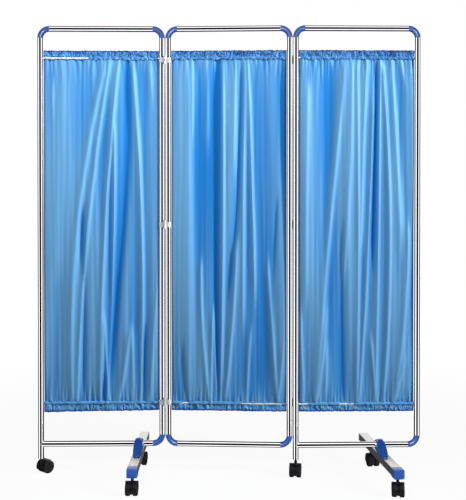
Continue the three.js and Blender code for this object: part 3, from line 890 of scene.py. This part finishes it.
# A fold in a curtain: the shares of the height where it starts and ends, from the bottom; its place across
# at its upper end, halfway and at its lower end; half its width; how far it stands out, or in if negative
Fold = namedtuple("Fold", "high low top middle bottom half depth")
FOLDS = {
    "left": (
        Fold(1.0, 0.0, 0.545, 0.286, 0.249, 0.0085, 0.0060),
        Fold(1.0, 0.0, 0.577, 0.380, 0.290, 0.0065, 0.0055),
        Fold(1.0, 0.0, 0.650, 0.530, 0.490, 0.0065, 0.0060),
        Fold(0.84, 0.0, 0.610, 0.603, 0.545, 0.0055, 0.0055),
        Fold(1.0, 0.0, 0.735, 0.680, 0.520, 0.0120, -0.0070),
        Fold(1.0, 0.0, 0.767, 0.850, 0.840, 0.0080, 0.0060),
        Fold(1.0, 0.85, 0.430, 0.425, 0.415, 0.0080, 0.0040),
        Fold(1.0, 0.83, 0.920, 0.935, 0.950, 0.0065, 0.0040),
        Fold(0.27, 0.0, 0.522, 0.505, 0.485, 0.0050, 0.0045),
        Fold(0.27, 0.0, 0.522, 0.540, 0.560, 0.0050, 0.0045),
        Fold(1.0, 0.30, 0.164, 0.122, 0.080, 0.0300, 0.0045),
        Fold(0.97, 0.78, 0.080, 0.080, 0.085, 0.0060, 0.0030),
        Fold(0.24, 0.0, 0.757, 0.710, 0.650, 0.0070, 0.0045),
        Fold(0.24, 0.0, 0.757, 0.770, 0.772, 0.0060, 0.0040),
        Fold(0.35, 0.0, 0.980, 0.950, 0.920, 0.0070, 0.0040),
        Fold(0.25, 0.0, 0.880, 0.870, 0.865, 0.0060, -0.0040),
        Fold(0.60, 0.0, 0.330, 0.345, 0.340, 0.0090, -0.0045),
    ),
    "middle": (
        Fold(1.0, 0.0, 0.145, 0.155, 0.150, 0.0140, 0.0050),
        Fold(1.0, 0.72, 0.185, 0.182, 0.175, 0.0055, 0.0035),
        Fold(1.0, 0.66, 0.315, 0.310, 0.300, 0.0120, 0.0042),
        Fold(1.0, 0.0, 0.425, 0.395, 0.412, 0.0100, -0.0065),
        Fold(1.0, 0.0, 0.450, 0.450, 0.425, 0.0065, 0.0060),
        Fold(1.0, 0.62, 0.560, 0.545, 0.530, 0.0100, 0.0042),
        Fold(1.0, 0.25, 0.617, 0.580, 0.490, 0.0090, -0.0055),
        Fold(1.0, 0.15, 0.637, 0.625, 0.620, 0.0080, 0.0050),
        Fold(1.0, 0.25, 0.665, 0.703, 0.728, 0.0065, 0.0055),
        Fold(0.62, 0.33, 0.915, 0.900, 0.880, 0.0060, -0.0035),
        Fold(0.45, 0.0, 0.260, 0.268, 0.330, 0.0065, 0.0045),
        Fold(0.30, 0.0, 0.362, 0.352, 0.345, 0.0050, 0.0040),
        Fold(0.30, 0.0, 0.368, 0.378, 0.395, 0.0050, 0.0040),
        Fold(0.50, 0.0, 0.568, 0.535, 0.465, 0.0065, 0.0055),
        Fold(0.25, 0.0, 0.700, 0.672, 0.655, 0.0060, 0.0040),
        Fold(0.45, 0.0, 0.830, 0.872, 0.920, 0.0075, 0.0045),
        Fold(0.20, 0.0, 0.978, 0.955, 0.927, 0.0060, 0.0040),
        Fold(0.20, 0.0, 0.090, 0.108, 0.130, 0.0080, -0.0035),
    ),
    "right": (
        Fold(0.97, 0.25, 0.075, 0.060, 0.060, 0.0100, 0.0045),
        Fold(0.30, 0.0, 0.010, 0.022, 0.042, 0.0060, 0.0040),
        Fold(1.0, 0.0, 0.400, 0.262, 0.140, 0.0100, 0.0055),
        Fold(1.0, 0.30, 0.455, 0.432, 0.365, 0.0080, 0.0045),
        Fold(1.0, 0.0, 0.500, 0.512, 0.500, 0.0060, 0.0055),
        Fold(1.0, 0.40, 0.583, 0.550, 0.535, 0.0070, 0.0050),
        Fold(0.93, 0.0, 0.645, 0.600, 0.520, 0.0060, 0.0060),
        Fold(1.0, 0.35, 0.680, 0.662, 0.635, 0.0085, -0.0065),
        Fold(1.0, 0.0, 0.700, 0.688, 0.660, 0.0060, 0.0050),
        Fold(1.0, 0.0, 0.717, 0.785, 0.730, 0.0065, 0.0060),
        Fold(1.0, 0.38, 0.795, 0.850, 0.885, 0.0120, 0.0042),
        Fold(1.0, 0.88, 0.880, 0.910, 0.950, 0.0065, 0.0040),
        Fold(0.55, 0.0, 0.940, 0.920, 0.820, 0.0075, 0.0050),
        Fold(0.16, 0.0, 0.960, 0.885, 0.832, 0.0055, 0.0042),
        Fold(0.30, 0.0, 0.250, 0.210, 0.145, 0.0060, 0.0038),
        Fold(0.20, 0.0, 0.240, 0.235, 0.230, 0.0070, 0.0035),
        Fold(0.55, 0.0, 0.385, 0.370, 0.380, 0.0085, -0.0038),
        Fold(0.22, 0.0, 0.615, 0.640, 0.665, 0.0055, 0.0042),
    ),
}

# Where a rod shows between a frill and the cloth: from one share of the width to another
SLITS = {
    "left": {"top": ((-0.05, 0.40),), "bottom": ()},
    "middle": {"top": (), "bottom": ((0.07, 0.16), (0.60, 0.98))},
    "right": {"top": (), "bottom": ((-0.05, 0.09), (0.34, 0.49))},
}

# Each curtain's own place in the noise, and what each kind of wave adds to it
NOISE_SEEDS = {"left": 3.7, "middle": 17.3, "right": 41.9}
RIPPLE_SEED = 5
SWELL_SEED = 7
GATHER_SEED = 13
SCALLOP_SEED = 5

# A row of a curtain's points: its height, its depth off the rods' plane, its layer's side and its level
Row = namedtuple("Row", "height depth side level")

# A frill: its waves' depth and width, its edge's painted-shade height, its slits' opening, its crests'
# travel where painted fold shade ends, its painted shade
Frill = namedtuple("Frill", "depth wave hem slit crest shade")
FRILLS = {
    "top": Frill(0.0065, 0.0085, 0.0060, 1, 0.003, 0.25),
    "bottom": Frill(0.0034, 0.0150, 0.0100, 0.36, 0.004, 0),
}


def eased(value, low, high):
    share = min(max((value - low) / (high - low), 0), 1)
    return share * share * (3 - 2 * share)


def pocket(height, rod_height):
    """How far a layer stands off the rod's plane, with the tunnel that the rod runs in."""
    bulge = 1 - ((height - rod_height) / POCKET_HALF) ** 2
    return LAYER_GAP + POCKET_DEPTH * math.sqrt(max(bulge, 0))


def header_rows(edge, rod_height, seam, side, level):
    rows = []
    for i in range(HEADER_ROWS + 1):
        height = edge + (seam - edge) * (i / HEADER_ROWS) ** HEADER_CROWDING
        rows.append(Row(height, side * pocket(height, rod_height), side, level))
    return rows


def cloth_rows(bottom, top, low_rod, high_rod):
    """Rows of the sheet: down behind the low rod, up the whole front, and down behind the high rod."""
    low_seam = bottom + HEADER_HEIGHT
    high_seam = top - HEADER_HEIGHT
    rows = header_rows(bottom, low_rod, low_seam, 1, "bottom")[::-1]
    rows.append(Row(bottom - CLOTH_THICKNESS, 0, 0, "bottom"))
    rows += header_rows(bottom, low_rod, low_seam, -1, "bottom")
    for i in range(1, BODY_ROWS):
        share = 0.5 - 0.5 * math.cos(math.pi * i / BODY_ROWS)
        rows.append(Row(low_seam + (high_seam - low_seam) * share, 0, -1, "body"))
    rows += header_rows(top, high_rod, high_seam, -1, "top")[::-1]
    rows.append(Row(top + CLOTH_THICKNESS, 0, 0, "top"))
    rows += header_rows(top, high_rod, high_seam, 1, "top")
    return rows


def fold_depth(fold, share, height_share, width):
    """How far one fold brings a point of the cloth forward."""
    if not fold.low - FOLD_MARGIN_SHARE <= height_share <= fold.high + FOLD_MARGIN_SHARE:
        return 0
    along = (fold.high - height_share) / (fold.high - fold.low)
    bend = 2 * fold.middle - (fold.top + fold.bottom) / 2
    place = (1 - along) ** 2 * fold.top + 2 * along * (1 - along) * bend + along ** 2 * fold.bottom
    fade = 1
    if fold.high < 1:
        fade *= eased(fold.high - height_share, 0, FOLD_HIGH_FADE_SHARE)
    if fold.low > 0:
        fade *= eased(height_share - fold.low, 0, FOLD_LOW_FADE_SHARE)
    distance = (share - place) * width / fold.half
    if distance < 0:
        distance /= FOLD_LEAN
    return fade * fold.depth * math.exp(-abs(distance) ** FOLD_SHARPNESS)


def cloth_offset(panel, share, row, width, low_seam, high_seam):
    """Forward travel of a point of the cloth in front of its row's own plane."""
    seed = NOISE_SEEDS[panel]
    x = share * width
    above = (row.height - low_seam) / (high_seam - low_seam)
    to_seam = min(row.height - low_seam, high_seam - row.height)
    gathered = math.exp(-max(to_seam, 0) / GATHER_REACH)
    if row.level != "body":
        seam = high_seam if row.level == "top" else low_seam
        frill = FRILLS[row.level]
        lean = FRILL_SLANT * (row.height - seam) * noise.noise((x / FRILL_LEAN_WAVE, seed, 0))
        wave = noise.noise(((x + lean) / frill.wave, row.height / FRILL_WAVE_HEIGHT, seed + row.side))
        ripple = (x - lean) / frill.wave * FRILL_RIPPLE_SHARE
        wave += noise.noise((ripple, row.height / FRILL_RIPPLE_HEIGHT, seed + RIPPLE_SEED)) / 2
        at_rod = abs(row.depth) / (LAYER_GAP + POCKET_DEPTH)
        return 2 * frill.depth * wave * (1 - FRILL_ROD_SHARE * at_rod)
    creases = noise.noise((x / CREASE_WAVE, row.height / CREASE_LENGTH, seed))
    swell = noise.noise((x / SWELL_WAVE, row.height / SWELL_LENGTH, seed + SWELL_SEED))
    gathers = noise.noise((x / GATHER_WAVE, row.height / GATHER_LENGTH, seed + GATHER_SEED))
    folds = sum(fold_depth(fold, share, above, width) for fold in FOLDS[panel])
    calm = 1 - gathered
    travel = (
        FOLD_GAINS[panel] * folds * (GATHERED_FOLD_SHARE + (1 - GATHERED_FOLD_SHARE) * calm)
        + 2 * SWELL_DEPTH * swell * calm
        + 2 * CREASE_DEPTH * creases
        + 2 * GATHER_DEPTH * gathers * gathered
    )
    return FOLD_LIMIT * math.tanh(travel / FOLD_LIMIT)


def slit_share(panel, level, share):
    """How far open the front of the tunnel is here, so that the rod shows: from 0 to 1."""
    opened = 0
    for start, end in SLITS[panel].get(level, ()):
        entry = eased(share, start, start + SLIT_EASE_SHARE)
        opened = max(opened, entry * (1 - eased(share, end - SLIT_EASE_SHARE, end)))
    return FRILLS[level].slit * opened


def frill_travel(panel, share, row, width, rod_height):
    """How far a point of a header moves up: its edge's waves, and the left curtain's sag."""
    frill_share = eased(abs(row.height - rod_height), POCKET_HALF, FRILL_HEIGHT)
    waved = noise.noise((share * width / SCALLOP_WAVE, NOISE_SEEDS[panel], SCALLOP_SEED))
    travel = SCALLOP * frill_share * waved
    if panel == "left" and row.level == "bottom":
        travel -= LEFT_SAG * frill_share * (1 - share)
    return travel


def painted_shade_share(row, edge, bottom, top):
    """How much painted shade a point has along the curtain's edges and over a frill, from 0 to 1."""
    unshaded_shares = (
        eased(edge, 0, SIDE_PAINTED_SHADE_WIDTH),
        eased(row.height - bottom, 0, FRILLS["bottom"].hem),
        eased(top - row.height, 0, FRILLS["top"].hem),
    )
    shade = 0 if row.level == "body" else FRILLS[row.level].shade
    return max(1 - min(unshaded_shares), shade)


def curtain_mesh(panel, bottom, top, low_rod, high_rod):
    """A gathered curtain in its panel's frame, one sheet with a tunnel and a frill at each end."""
    rows = cloth_rows(bottom, top, low_rod, high_rod)
    width = POST_SPACING - 2 * (TUBE_RADIUS + SIDE_GAP)
    low_seam = bottom + HEADER_HEIGHT
    high_seam = top - HEADER_HEIGHT
    lengths = [0]
    for before, after in zip(rows, rows[1:]):
        lengths.append(lengths[-1] + math.hypot(after.height - before.height, after.depth - before.depth))
    form = bmesh.new()
    stitch = form.loops.layers.uv.new("UVMap")
    hem = form.verts.layers.float.new("hem")
    painted_fold_shade = form.verts.layers.float.new("painted_fold_shade")
    bmesh.ops.create_grid(
        form, x_segments=CLOTH_COLUMNS, y_segments=len(rows) - 1, size=0.5, calc_uvs=True,
    )
    tunnel = [POCKET_HALF * reach for reach in TUNNEL_SHARES]
    places = {}
    for vertex in form.verts:
        share = vertex.co.x + 0.5
        index = round((vertex.co.y + 0.5) * (len(rows) - 1))
        places[vertex.index] = (share, lengths[index] / lengths[-1])
        row = rows[index]
        forward = cloth_offset(panel, share, row, width, low_seam, high_seam)
        depth = row.depth
        rod_height = low_rod if row.level == "bottom" else high_rod
        if row.side < 0 and row.level != "body":
            in_tunnel = 1 - eased(abs(row.height - rod_height), *tunnel)
            opened = slit_share(panel, row.level, share) * in_tunnel
            depth += opened * (ROD_RADIUS + 2 * FIT_GAP + CLOTH_THICKNESS - row.depth)
            forward *= 1 - opened
        edge = min(share, 1 - share) * width
        curl = EDGE_CURL * (1 - eased(edge, 0, EDGE_CURL_WIDTH))
        curl *= 1 if row.level == "body" else HEADER_CURL_SHARE
        up = 0 if row.level == "body" else frill_travel(panel, share, row, width, rod_height)
        crest = CREST if row.level == "body" else FRILLS[row.level].crest
        # Painted shade at the curtain's edges and over a top frill
        vertex[hem] = painted_shade_share(row, edge, bottom, top)
        # Painted shade in the recesses between folds, full where the cloth lies deepest
        vertex[painted_fold_shade] = 1 - eased(forward, PAINTED_SHADE_DEPTH, crest)
        vertex.co = Vector(((share - 0.5) * width, depth - forward + curl, row.height + up))
    for face in form.faces:
        for loop in face.loops:
            loop[stitch].uv = places[loop.vert.index]
    bmesh.ops.recalc_face_normals(form, faces=form.faces)
    return mesh_of(form)


def build_curtain(panel, place, finishes):
    node = f"{panel}_panel_curtain"
    bottom, top = heights(node)
    low_rod = sum(heights(f"{panel}_panel_curtain_rod_bottom")) / 2
    high_rod = sum(heights(f"{panel}_panel_curtain_rod_top")) / 2
    mesh = curtain_mesh(panel, bottom, top, low_rod, high_rod)
    made = piece(
        f"{panel}_curtain", mesh, finishes["cloth"], f"{panel}_panel", place,
        stands_for=(node,),
    )
    wall = made.modifiers.new("Solidify", "SOLIDIFY")
    wall.thickness = CLOTH_THICKNESS
    wall.offset = 0


def rounded_outline(width, height, corner):
    """A rounded rectangle about zero, anticlockwise."""
    points = []
    for k, (x, y) in enumerate(((1, 1), (-1, 1), (-1, -1), (1, -1))):
        centre = (x * (width / 2 - corner), y * (height / 2 - corner))
        points += arc(centre, corner, k * math.pi / 2, (k + 1) * math.pi / 2, CORNER_STEPS)
    return points


def beam(grow, start, end, middle):
    """A rounded bar along Y, larger than the leg all round by a length."""
    outline = rounded_outline(LEG_WIDTH + 2 * grow, LEG_HEIGHT + 2 * grow, LEG_CORNER + grow)
    return moved(extruded(outline, end - start), turn(-90, "X"), shift(0, start, middle))


def upright(radius, low, high, y=0):
    return moved(rod(radius, low, high, ROUND_SIDES), shift(0, y, 0))


def build_foot(side, finishes):
    place = foot_place(side)
    body = f"foot_{side}"
    inward = place.inverted()
    front_y = (inward @ joint_place(f"{body}_front_caster_swivel")).y
    rear_y = (inward @ joint_place(f"{body}_rear_caster_swivel")).y
    leg_points = [inward @ point for point in node_points(f"{body}_leg")]
    leg_start = min(point.y for point in leg_points)
    leg_end = max(point.y for point in leg_points)
    low = min(point.z for point in leg_points)
    high = max(point.z for point in leg_points)
    middle = (low + high) / 2
    cap_start = leg_start - CAP_END - FIT_GAP
    stem_top = CASTER_MOUNT + STEM_LENGTH + FIT_GAP

    leg = carved(beam(0, leg_start, leg_end, middle), [
        beam(-LEG_WALL, leg_start - LEG_WALL, leg_end + LEG_WALL, middle),
        upright(BOLT_RADIUS + FIT_GAP, 0, high + LEG_WALL),
        upright(STEM_RADIUS + FIT_GAP, 0, middle, front_y),
        upright(BOSS_RADIUS + FIT_GAP, 0, middle, rear_y),
    ])
    piece(f"{side}_leg", leg, finishes["leg"], body, place,
          stands_for=(f"{body}_leg",), rounding=EDGE_ROUND)

    sleeve_wall = FIT_GAP + CAP_WALL
    shell = finished(beam(sleeve_wall, cap_start, cap_start + CAP_LENGTH, middle), [
        ("BEVEL", {"width": CAP_WALL, "segments": CAP_BEVEL_STEPS, "limit_method": "ANGLE",
                   "angle_limit": CAP_BEVEL_ANGLE}),
    ])
    inner = beam(FIT_GAP, cap_start + CAP_END, cap_start + 2 * CAP_LENGTH, middle)
    plug = beam(-LEG_WALL - FIT_GAP, cap_start + CAP_END - LEG_WALL, cap_start + CAP_LENGTH, middle)
    stem_bore = upright(STEM_RADIUS + FIT_GAP, 0, stem_top, front_y)
    cap = carved(carved(carved(shell, [inner]), [plug], "UNION"), [stem_bore])
    piece(f"{side}_front_cap", cap, finishes["blue"], body, place,
          stands_for=(f"{body}_front_cap",), rounding=EDGE_ROUND / 2)

    half = SOCKET_LENGTH / 2
    socket_plug = beam(-LEG_WALL - FIT_GAP, rear_y - half, rear_y + half, middle)
    boss = upright(BOSS_RADIUS, CASTER_MOUNT + FIT_GAP, middle, rear_y)
    socket = carved(carved(socket_plug, [boss], "UNION"), [
        upright(STEM_RADIUS + FIT_GAP, 0, stem_top, rear_y),
    ])
    piece(f"{side}_rear_socket", socket, finishes["black"], body, place,
          stands_for=(f"{body}_rear_socket",), rounding=EDGE_ROUND)


def clamp_mesh(rail_above):
    """The saddle over the rail: a hump round the tube that runs out into a nose and a shorter tail."""
    hump = TUBE_RADIUS + HUMP_WALL
    top = rail_above + hump
    half = CLAMP_WIDTH / 2
    shoulder = (hump * math.sin(SHOULDER_ANGLE), rail_above + hump * math.cos(SHOULDER_ANGLE))
    drop = (math.cos(SHOULDER_ANGLE), math.sin(SHOULDER_ANGLE))
    nose_handle = (-shoulder[0] - NOSE_LEAD * drop[0], shoulder[1] - NOSE_LEAD * drop[1])
    tail_handle = (shoulder[0] + TAIL_LEAD * drop[0], shoulder[1] - TAIL_LEAD * drop[1])
    side = [(-CLAMP_NOSE, 0), (-CLAMP_NOSE, NOSE_HEIGHT)]
    crest = math.pi / 2
    side += curve(side[-1], nose_handle, (-shoulder[0], shoulder[1]), CURVE_STEPS)
    side += arc((0, rail_above), hump, crest + SHOULDER_ANGLE, crest - SHOULDER_ANGLE, CURVE_STEPS)[1:]
    side += curve(shoulder, tail_handle, (CLAMP_TAIL, NOSE_HEIGHT), CURVE_STEPS)
    side.append((CLAMP_TAIL, 0))
    nose = arc((0, NOSE_ROUND - CLAMP_NOSE), (half, NOSE_ROUND), math.pi, 2 * math.pi, ROUND_SIDES)
    tail = arc((0, CLAMP_TAIL - TAIL_ROUND), (half, TAIL_ROUND), 0, math.pi, ROUND_SIDES)
    arch = [(-half, 0), (half, 0)]
    arch += arc((0, top - HUMP_ARCH), (half, HUMP_ARCH), 0, math.pi, ROUND_SIDES)
    body = moved(extruded(side, CLAMP_WIDTH), turn(90, "X"), turn(90, "Z"), shift(-half, 0, 0))
    plan = extruded(nose + tail, top)
    length = CLAMP_NOSE + CLAMP_TAIL
    front = moved(extruded(arch, 2 * length), turn(90, "X"), shift(0, length, 0))
    form = carved(body, [plan, front], "INTERSECT")
    return finished(form, [
        ("REMESH", {"mode": "VOXEL", "voxel_size": CLAMP_VOXEL}),
        ("SMOOTH", {"factor": CLAMP_SMOOTHING_SHARE, "iterations": CLAMP_SMOOTHINGS}),
    ])


def build_clamp(side, place, finishes):
    node = f"foot_{side}_clamp"
    pivot = place.inverted() @ joint_place(f"{side}_foot_turn")
    base = heights(node)[0]
    rail_low, rail_high = heights(f"{side}_panel_rail_bottom")
    rail_above = (rail_low + rail_high) / 2 - base
    bore = rod(TUBE_RADIUS + FIT_GAP, -CLAMP_WIDTH, CLAMP_WIDTH)
    bore = moved(bore, turn(90, "Y"), shift(0, 0, rail_above))
    hole = rod(BOLT_RADIUS + FIT_GAP, -BOLT_REACH, BOLT_REACH + FIT_GAP, ROUND_SIDES)
    clamp = carved(clamp_mesh(rail_above), [bore, hole])
    piece(
        f"{side}_clamp", moved(clamp, shift(pivot.x, 0, base)), finishes["blue"], f"{side}_panel",
        place, stands_for=(node,),
    )
    head_low, bolt_top = heights(f"foot_{side}_swivel_bolt")
    shank = rod(BOLT_RADIUS, head_low + BOLT_HEAD_HEIGHT - FIT_GAP, bolt_top, ROUND_SIDES)
    form = bmesh.new()
    bmesh.ops.create_cone(
        form, cap_ends=True, segments=BOLT_HEAD_SIDES, radius1=BOLT_HEAD_RADIUS, radius2=BOLT_HEAD_RADIUS,
        depth=BOLT_HEAD_HEIGHT,
    )
    head = moved(mesh_of(form), shift(0, 0, head_low + BOLT_HEAD_HEIGHT / 2))
    bolt = moved(carved(head, [shank], "UNION"), shift(pivot.x, 0, 0))
    piece(
        f"{side}_swivel_bolt", bolt, finishes["plain"], f"{side}_panel", place,
        stands_for=(f"foot_{side}_swivel_bolt",), rounding=EDGE_ROUND,
    )


def wheel_profile(radius):
    """One wheel's outline as (radius, place along the axle), from its rim's inner edge outwards."""
    inner = WEB_WIDTH / 2 + WHEEL_GAP
    outer = inner + WHEEL_WIDTH
    crown = arc((radius - WHEEL_EDGE, outer - WHEEL_EDGE), WHEEL_EDGE, 0, math.pi / 2, CORNER_STEPS)
    return [
        (AXLE_RADIUS, inner),
        (radius - EDGE_ROUND, inner),
        (radius, inner + EDGE_ROUND),
        *crown,
        (DISH_RADIUS + DISH_DEPTH, outer),
        (DISH_RADIUS, outer - DISH_DEPTH),
        (HUB_RADIUS + HUB_RISE, outer - DISH_DEPTH),
        (HUB_RADIUS, outer - DISH_DEPTH + HUB_RISE),
        (0, outer - DISH_DEPTH + HUB_RISE),
    ]


def hood_section(wheel_radius):
    """The hood and the web under it, as (radius, place along the axle): one closed outline."""
    web = WEB_WIDTH / 2
    side = web + WHEEL_GAP + WHEEL_WIDTH
    inner = wheel_radius + HOOD_GAP + FIT_GAP
    outer = inner + HOOD_WALL
    half = [(outer, side), (inner, side), (inner, web), (0, web)]
    return [(radius, -x) for radius, x in half[::-1]] + half


# From a sweep about Z to one about the axle, along X
ABOUT_AXLE = Matrix(((0, 0, 1, 0), (1, 0, 0, 0), (0, 1, 0, 0), (0, 0, 0, 1)))


def build_caster(name, finishes):
    place = caster_place(name)
    axle_height = joint_place(f"{name}_spin").z
    half = wheel_profile(axle_height)
    profile = [(radius, -x) for radius, x in half[::-1]] + half
    axis = shift(0, TRAIL, axle_height)
    wheels = moved(turned(profile, WHEEL_SIDES), turn(90, "Y"), axis)
    piece(
        f"{name}_pair", wheels, finishes["tread"], f"{name}_wheels", place,
        stands_for=(f"{name}_wheels",),
    )
    hood = moved(
        swept(hood_section(axle_height), HOOD_END - HOOD_START, HOOD_STEPS),
        Matrix.Rotation(math.pi - HOOD_END, 4, "Z"), ABOUT_AXLE, axis,
    )
    hub_half = WEB_WIDTH / 2 + WHEEL_GAP - FIT_GAP
    hub = moved(rod(HOUSING_HUB, -hub_half, hub_half), turn(90, "Y"), axis)
    neck = rod(NECK_RADIUS, axle_height, CASTER_MOUNT, ROUND_SIDES)
    stem = rod(STEM_RADIUS, CASTER_MOUNT - FIT_GAP, CASTER_MOUNT + STEM_LENGTH, ROUND_SIDES)
    bore = moved(rod(AXLE_RADIUS + FIT_GAP, -WEB_WIDTH, WEB_WIDTH, ROUND_SIDES), turn(90, "Y"), axis)
    housing = carved(carved(hood, [hub, neck, stem], "UNION"), [bore])
    piece(
        f"{name}_hood", housing, finishes["black"], name, place,
        stands_for=(f"{name}_housing",), rounding=EDGE_ROUND,
    )


def build_post_socket(panel, place, finishes):
    """The plug at the bottom of a long post that holds its caster's stem."""
    low = heights(f"{panel}_panel_post_left")[0]
    socket = turned([
        (STEM_RADIUS + FIT_GAP, low - FIT_GAP / 2),
        (TUBE_BORE - FIT_GAP, low - FIT_GAP / 2),
        (TUBE_BORE - FIT_GAP, low + POST_SOCKET_LENGTH),
        (STEM_RADIUS + FIT_GAP, low + POST_SOCKET_LENGTH),
    ], closed=True)
    piece(
        f"{panel}_post_socket", moved(socket, shift(-POST_SPACING / 2, 0, 0)), finishes["black"],
        f"{panel}_panel", place,
    )


def build_floor():
    """A pale floor that the camera sees nearly white, and that keeps the screen's shadow."""
    form = bmesh.new()
    bmesh.ops.create_grid(form, x_segments=1, y_segments=1, size=FLOOR_HALF)
    floor = bpy.data.objects.new("floor", mesh_of(form))
    floor.location.z = -FIT_GAP
    floor.visible_glossy = False
    material = bpy.data.materials.new("floor")
    material.use_nodes = True
    nodes = Nodes(material.node_tree)
    nodes.tree.nodes.clear()
    seen = nodes.add("ShaderNodeLightPath")
    grey = nodes.mixed(seen, colour(0.12, 0.12, 0.12), colour(0.8, 0.8, 0.8))
    paint = nodes.add("ShaderNodeBsdfDiffuse", sockets={"Color": grey})
    glow = nodes.add("ShaderNodeEmission", sockets={"Color": colour(1, 1, 1), "Strength": 1})
    where = nodes.object_point()
    distance = nodes.add("ShaderNodeVectorMath", {"operation": "LENGTH"}, {0: where}, output=1)
    white = nodes.span(distance, *FLOOR_FADE, *FLOOR_WHITE_SHARES)
    surface = nodes.add("ShaderNodeMixShader", sockets={0: white * seen, 1: paint, 2: glow})
    nodes.add("ShaderNodeOutputMaterial", sockets={"Surface": surface})
    floor.data.materials.append(material)
    bpy.context.scene.collection.objects.link(floor)


def build_world():
    """White all round, with dark walls that only reflections show, as in a studio with black flags."""
    world = bpy.data.worlds.new("studio")
    world.use_nodes = True
    bpy.context.scene.world = world
    nodes = Nodes(world.node_tree)
    nodes.tree.nodes.clear()
    towards = nodes.add("ShaderNodeTexCoord")
    behind = nodes.add("ShaderNodeSeparateXYZ", sockets={0: towards}, output=1)
    upwards = nodes.add("ShaderNodeSeparateXYZ", sockets={0: towards}, output=2)
    front_flag = 1 - nodes.span(behind, *FRONT_FLAG)
    back = nodes.span(behind, *RING_FLAG_END)
    open_end = back * nodes.span(upwards, *RING_FLAG_TOP)
    ring_flag = nodes.span(behind, *RING_FLAG_START) * (1 - open_end)
    dark = nodes.mixed(back, colour(0.002, 0.002, 0.003), colour(0.13, 0.13, 0.125))
    shades = nodes.mixed(front_flag + ring_flag, colour(1.5, 1.5, 1.5), dark)
    camera_ray = nodes.add("ShaderNodeLightPath", output=0)
    glossy_ray = nodes.add("ShaderNodeLightPath", output=3)
    fill = nodes.mixed(glossy_ray, colour(0.022, 0.036, 0.060), shades)
    seen = nodes.mixed(camera_ray, fill, colour(1, 1, 1))
    light = nodes.add("ShaderNodeBackground", sockets={"Color": seen, "Strength": 1})
    nodes.add("ShaderNodeOutputWorld", sockets={"Surface": light})


def build_lamp(name):
    """A soft box; only where it is seen do glossy surfaces show it."""
    values = LAMPS[name]
    data = bpy.data.lights.new(name, "AREA")
    data.shape = "RECTANGLE"
    data.size, data.size_y = values.size
    data.energy = values.power
    lamp = bpy.data.objects.new(name, data)
    lamp.location = values.place
    forwards = Vector(values.aim) - Vector(values.place)
    lamp.rotation_euler = forwards.to_track_quat("-Z", "Y").to_euler()
    lamp.visible_glossy = values.seen
    bpy.context.scene.collection.objects.link(lamp)
    return lamp


def light_only(lamp, materials):
    """Keeps a lamp for the pieces of some materials, as flags would in a studio."""
    lit = bpy.data.collections.new(f"{lamp.name}_lit")
    names = {material.name for material in materials}
    for item in bpy.context.scene.objects:
        if item.type == "MESH" and names & set(item.data.materials.keys()):
            lit.objects.link(item)
    lamp.light_linking.receiver_collection = lit


def build_camera():
    data = bpy.data.cameras.new("camera")
    data.sensor_width = SENSOR_WIDTH
    data.lens = SENSOR_WIDTH * FOCAL_PX / IMAGE_HEIGHT_PX
    horizon = HORIZON_PX + FOCAL_PX * math.tan(CAMERA_PITCH) - IMAGE_HEIGHT_PX / 2
    data.shift_y = horizon / IMAGE_HEIGHT_PX
    camera = bpy.data.objects.new("camera", data)
    camera.location = CAMERA_PLACE
    camera.rotation_euler = (math.pi / 2 - CAMERA_PITCH, 0, 0)
    bpy.context.scene.collection.objects.link(camera)
    bpy.context.scene.camera = camera


def main():
    bpy.context.scene.view_settings.view_transform = "Standard"
    build_camera()
    build_world()
    build_floor()
    lamps = {name: build_lamp(name) for name in LAMPS}
    lamps["key"].data.spread = KEY_SPREAD
    finishes = {
        "tube": polished_steel(),
        "plain": plain_steel(),
        "leg": leg_steel(),
        "blue": blue_plastic(),
        "black": black_plastic(),
        "tread": tread(),
        "white": white_coat(),
        "cloth": satin_cloth(),
    }
    places = {panel: panel_place(panel) for panel in PANELS}
    for panel, place in places.items():
        build_posts(panel, place, finishes)
        build_rails(panel, place, finishes)
        build_elbows(panel, place, finishes)
        build_rods(panel, place, finishes)
        build_curtain(panel, place, finishes)
    build_hinges(places, finishes)
    for side in ("left", "right"):
        build_post_socket(side, places[side], finishes)
        build_foot(side, finishes)
        build_clamp(side, places[side], finishes)
        build_caster(f"{side}_post_caster", finishes)
        build_caster(f"foot_{side}_front_caster", finishes)
        build_caster(f"foot_{side}_rear_caster", finishes)
    broad = [finishes[name] for name in ("leg", "plain", "black", "tread", "white", "cloth")]
    blue = finishes["blue"]
    floor = bpy.data.materials["floor"]
    lit = {"key": [*broad, floor], "top": [*broad, floor], "back": [*broad, blue], "front": [blue]}
    for name, materials in lit.items():
        light_only(lamps[name], materials)


main()
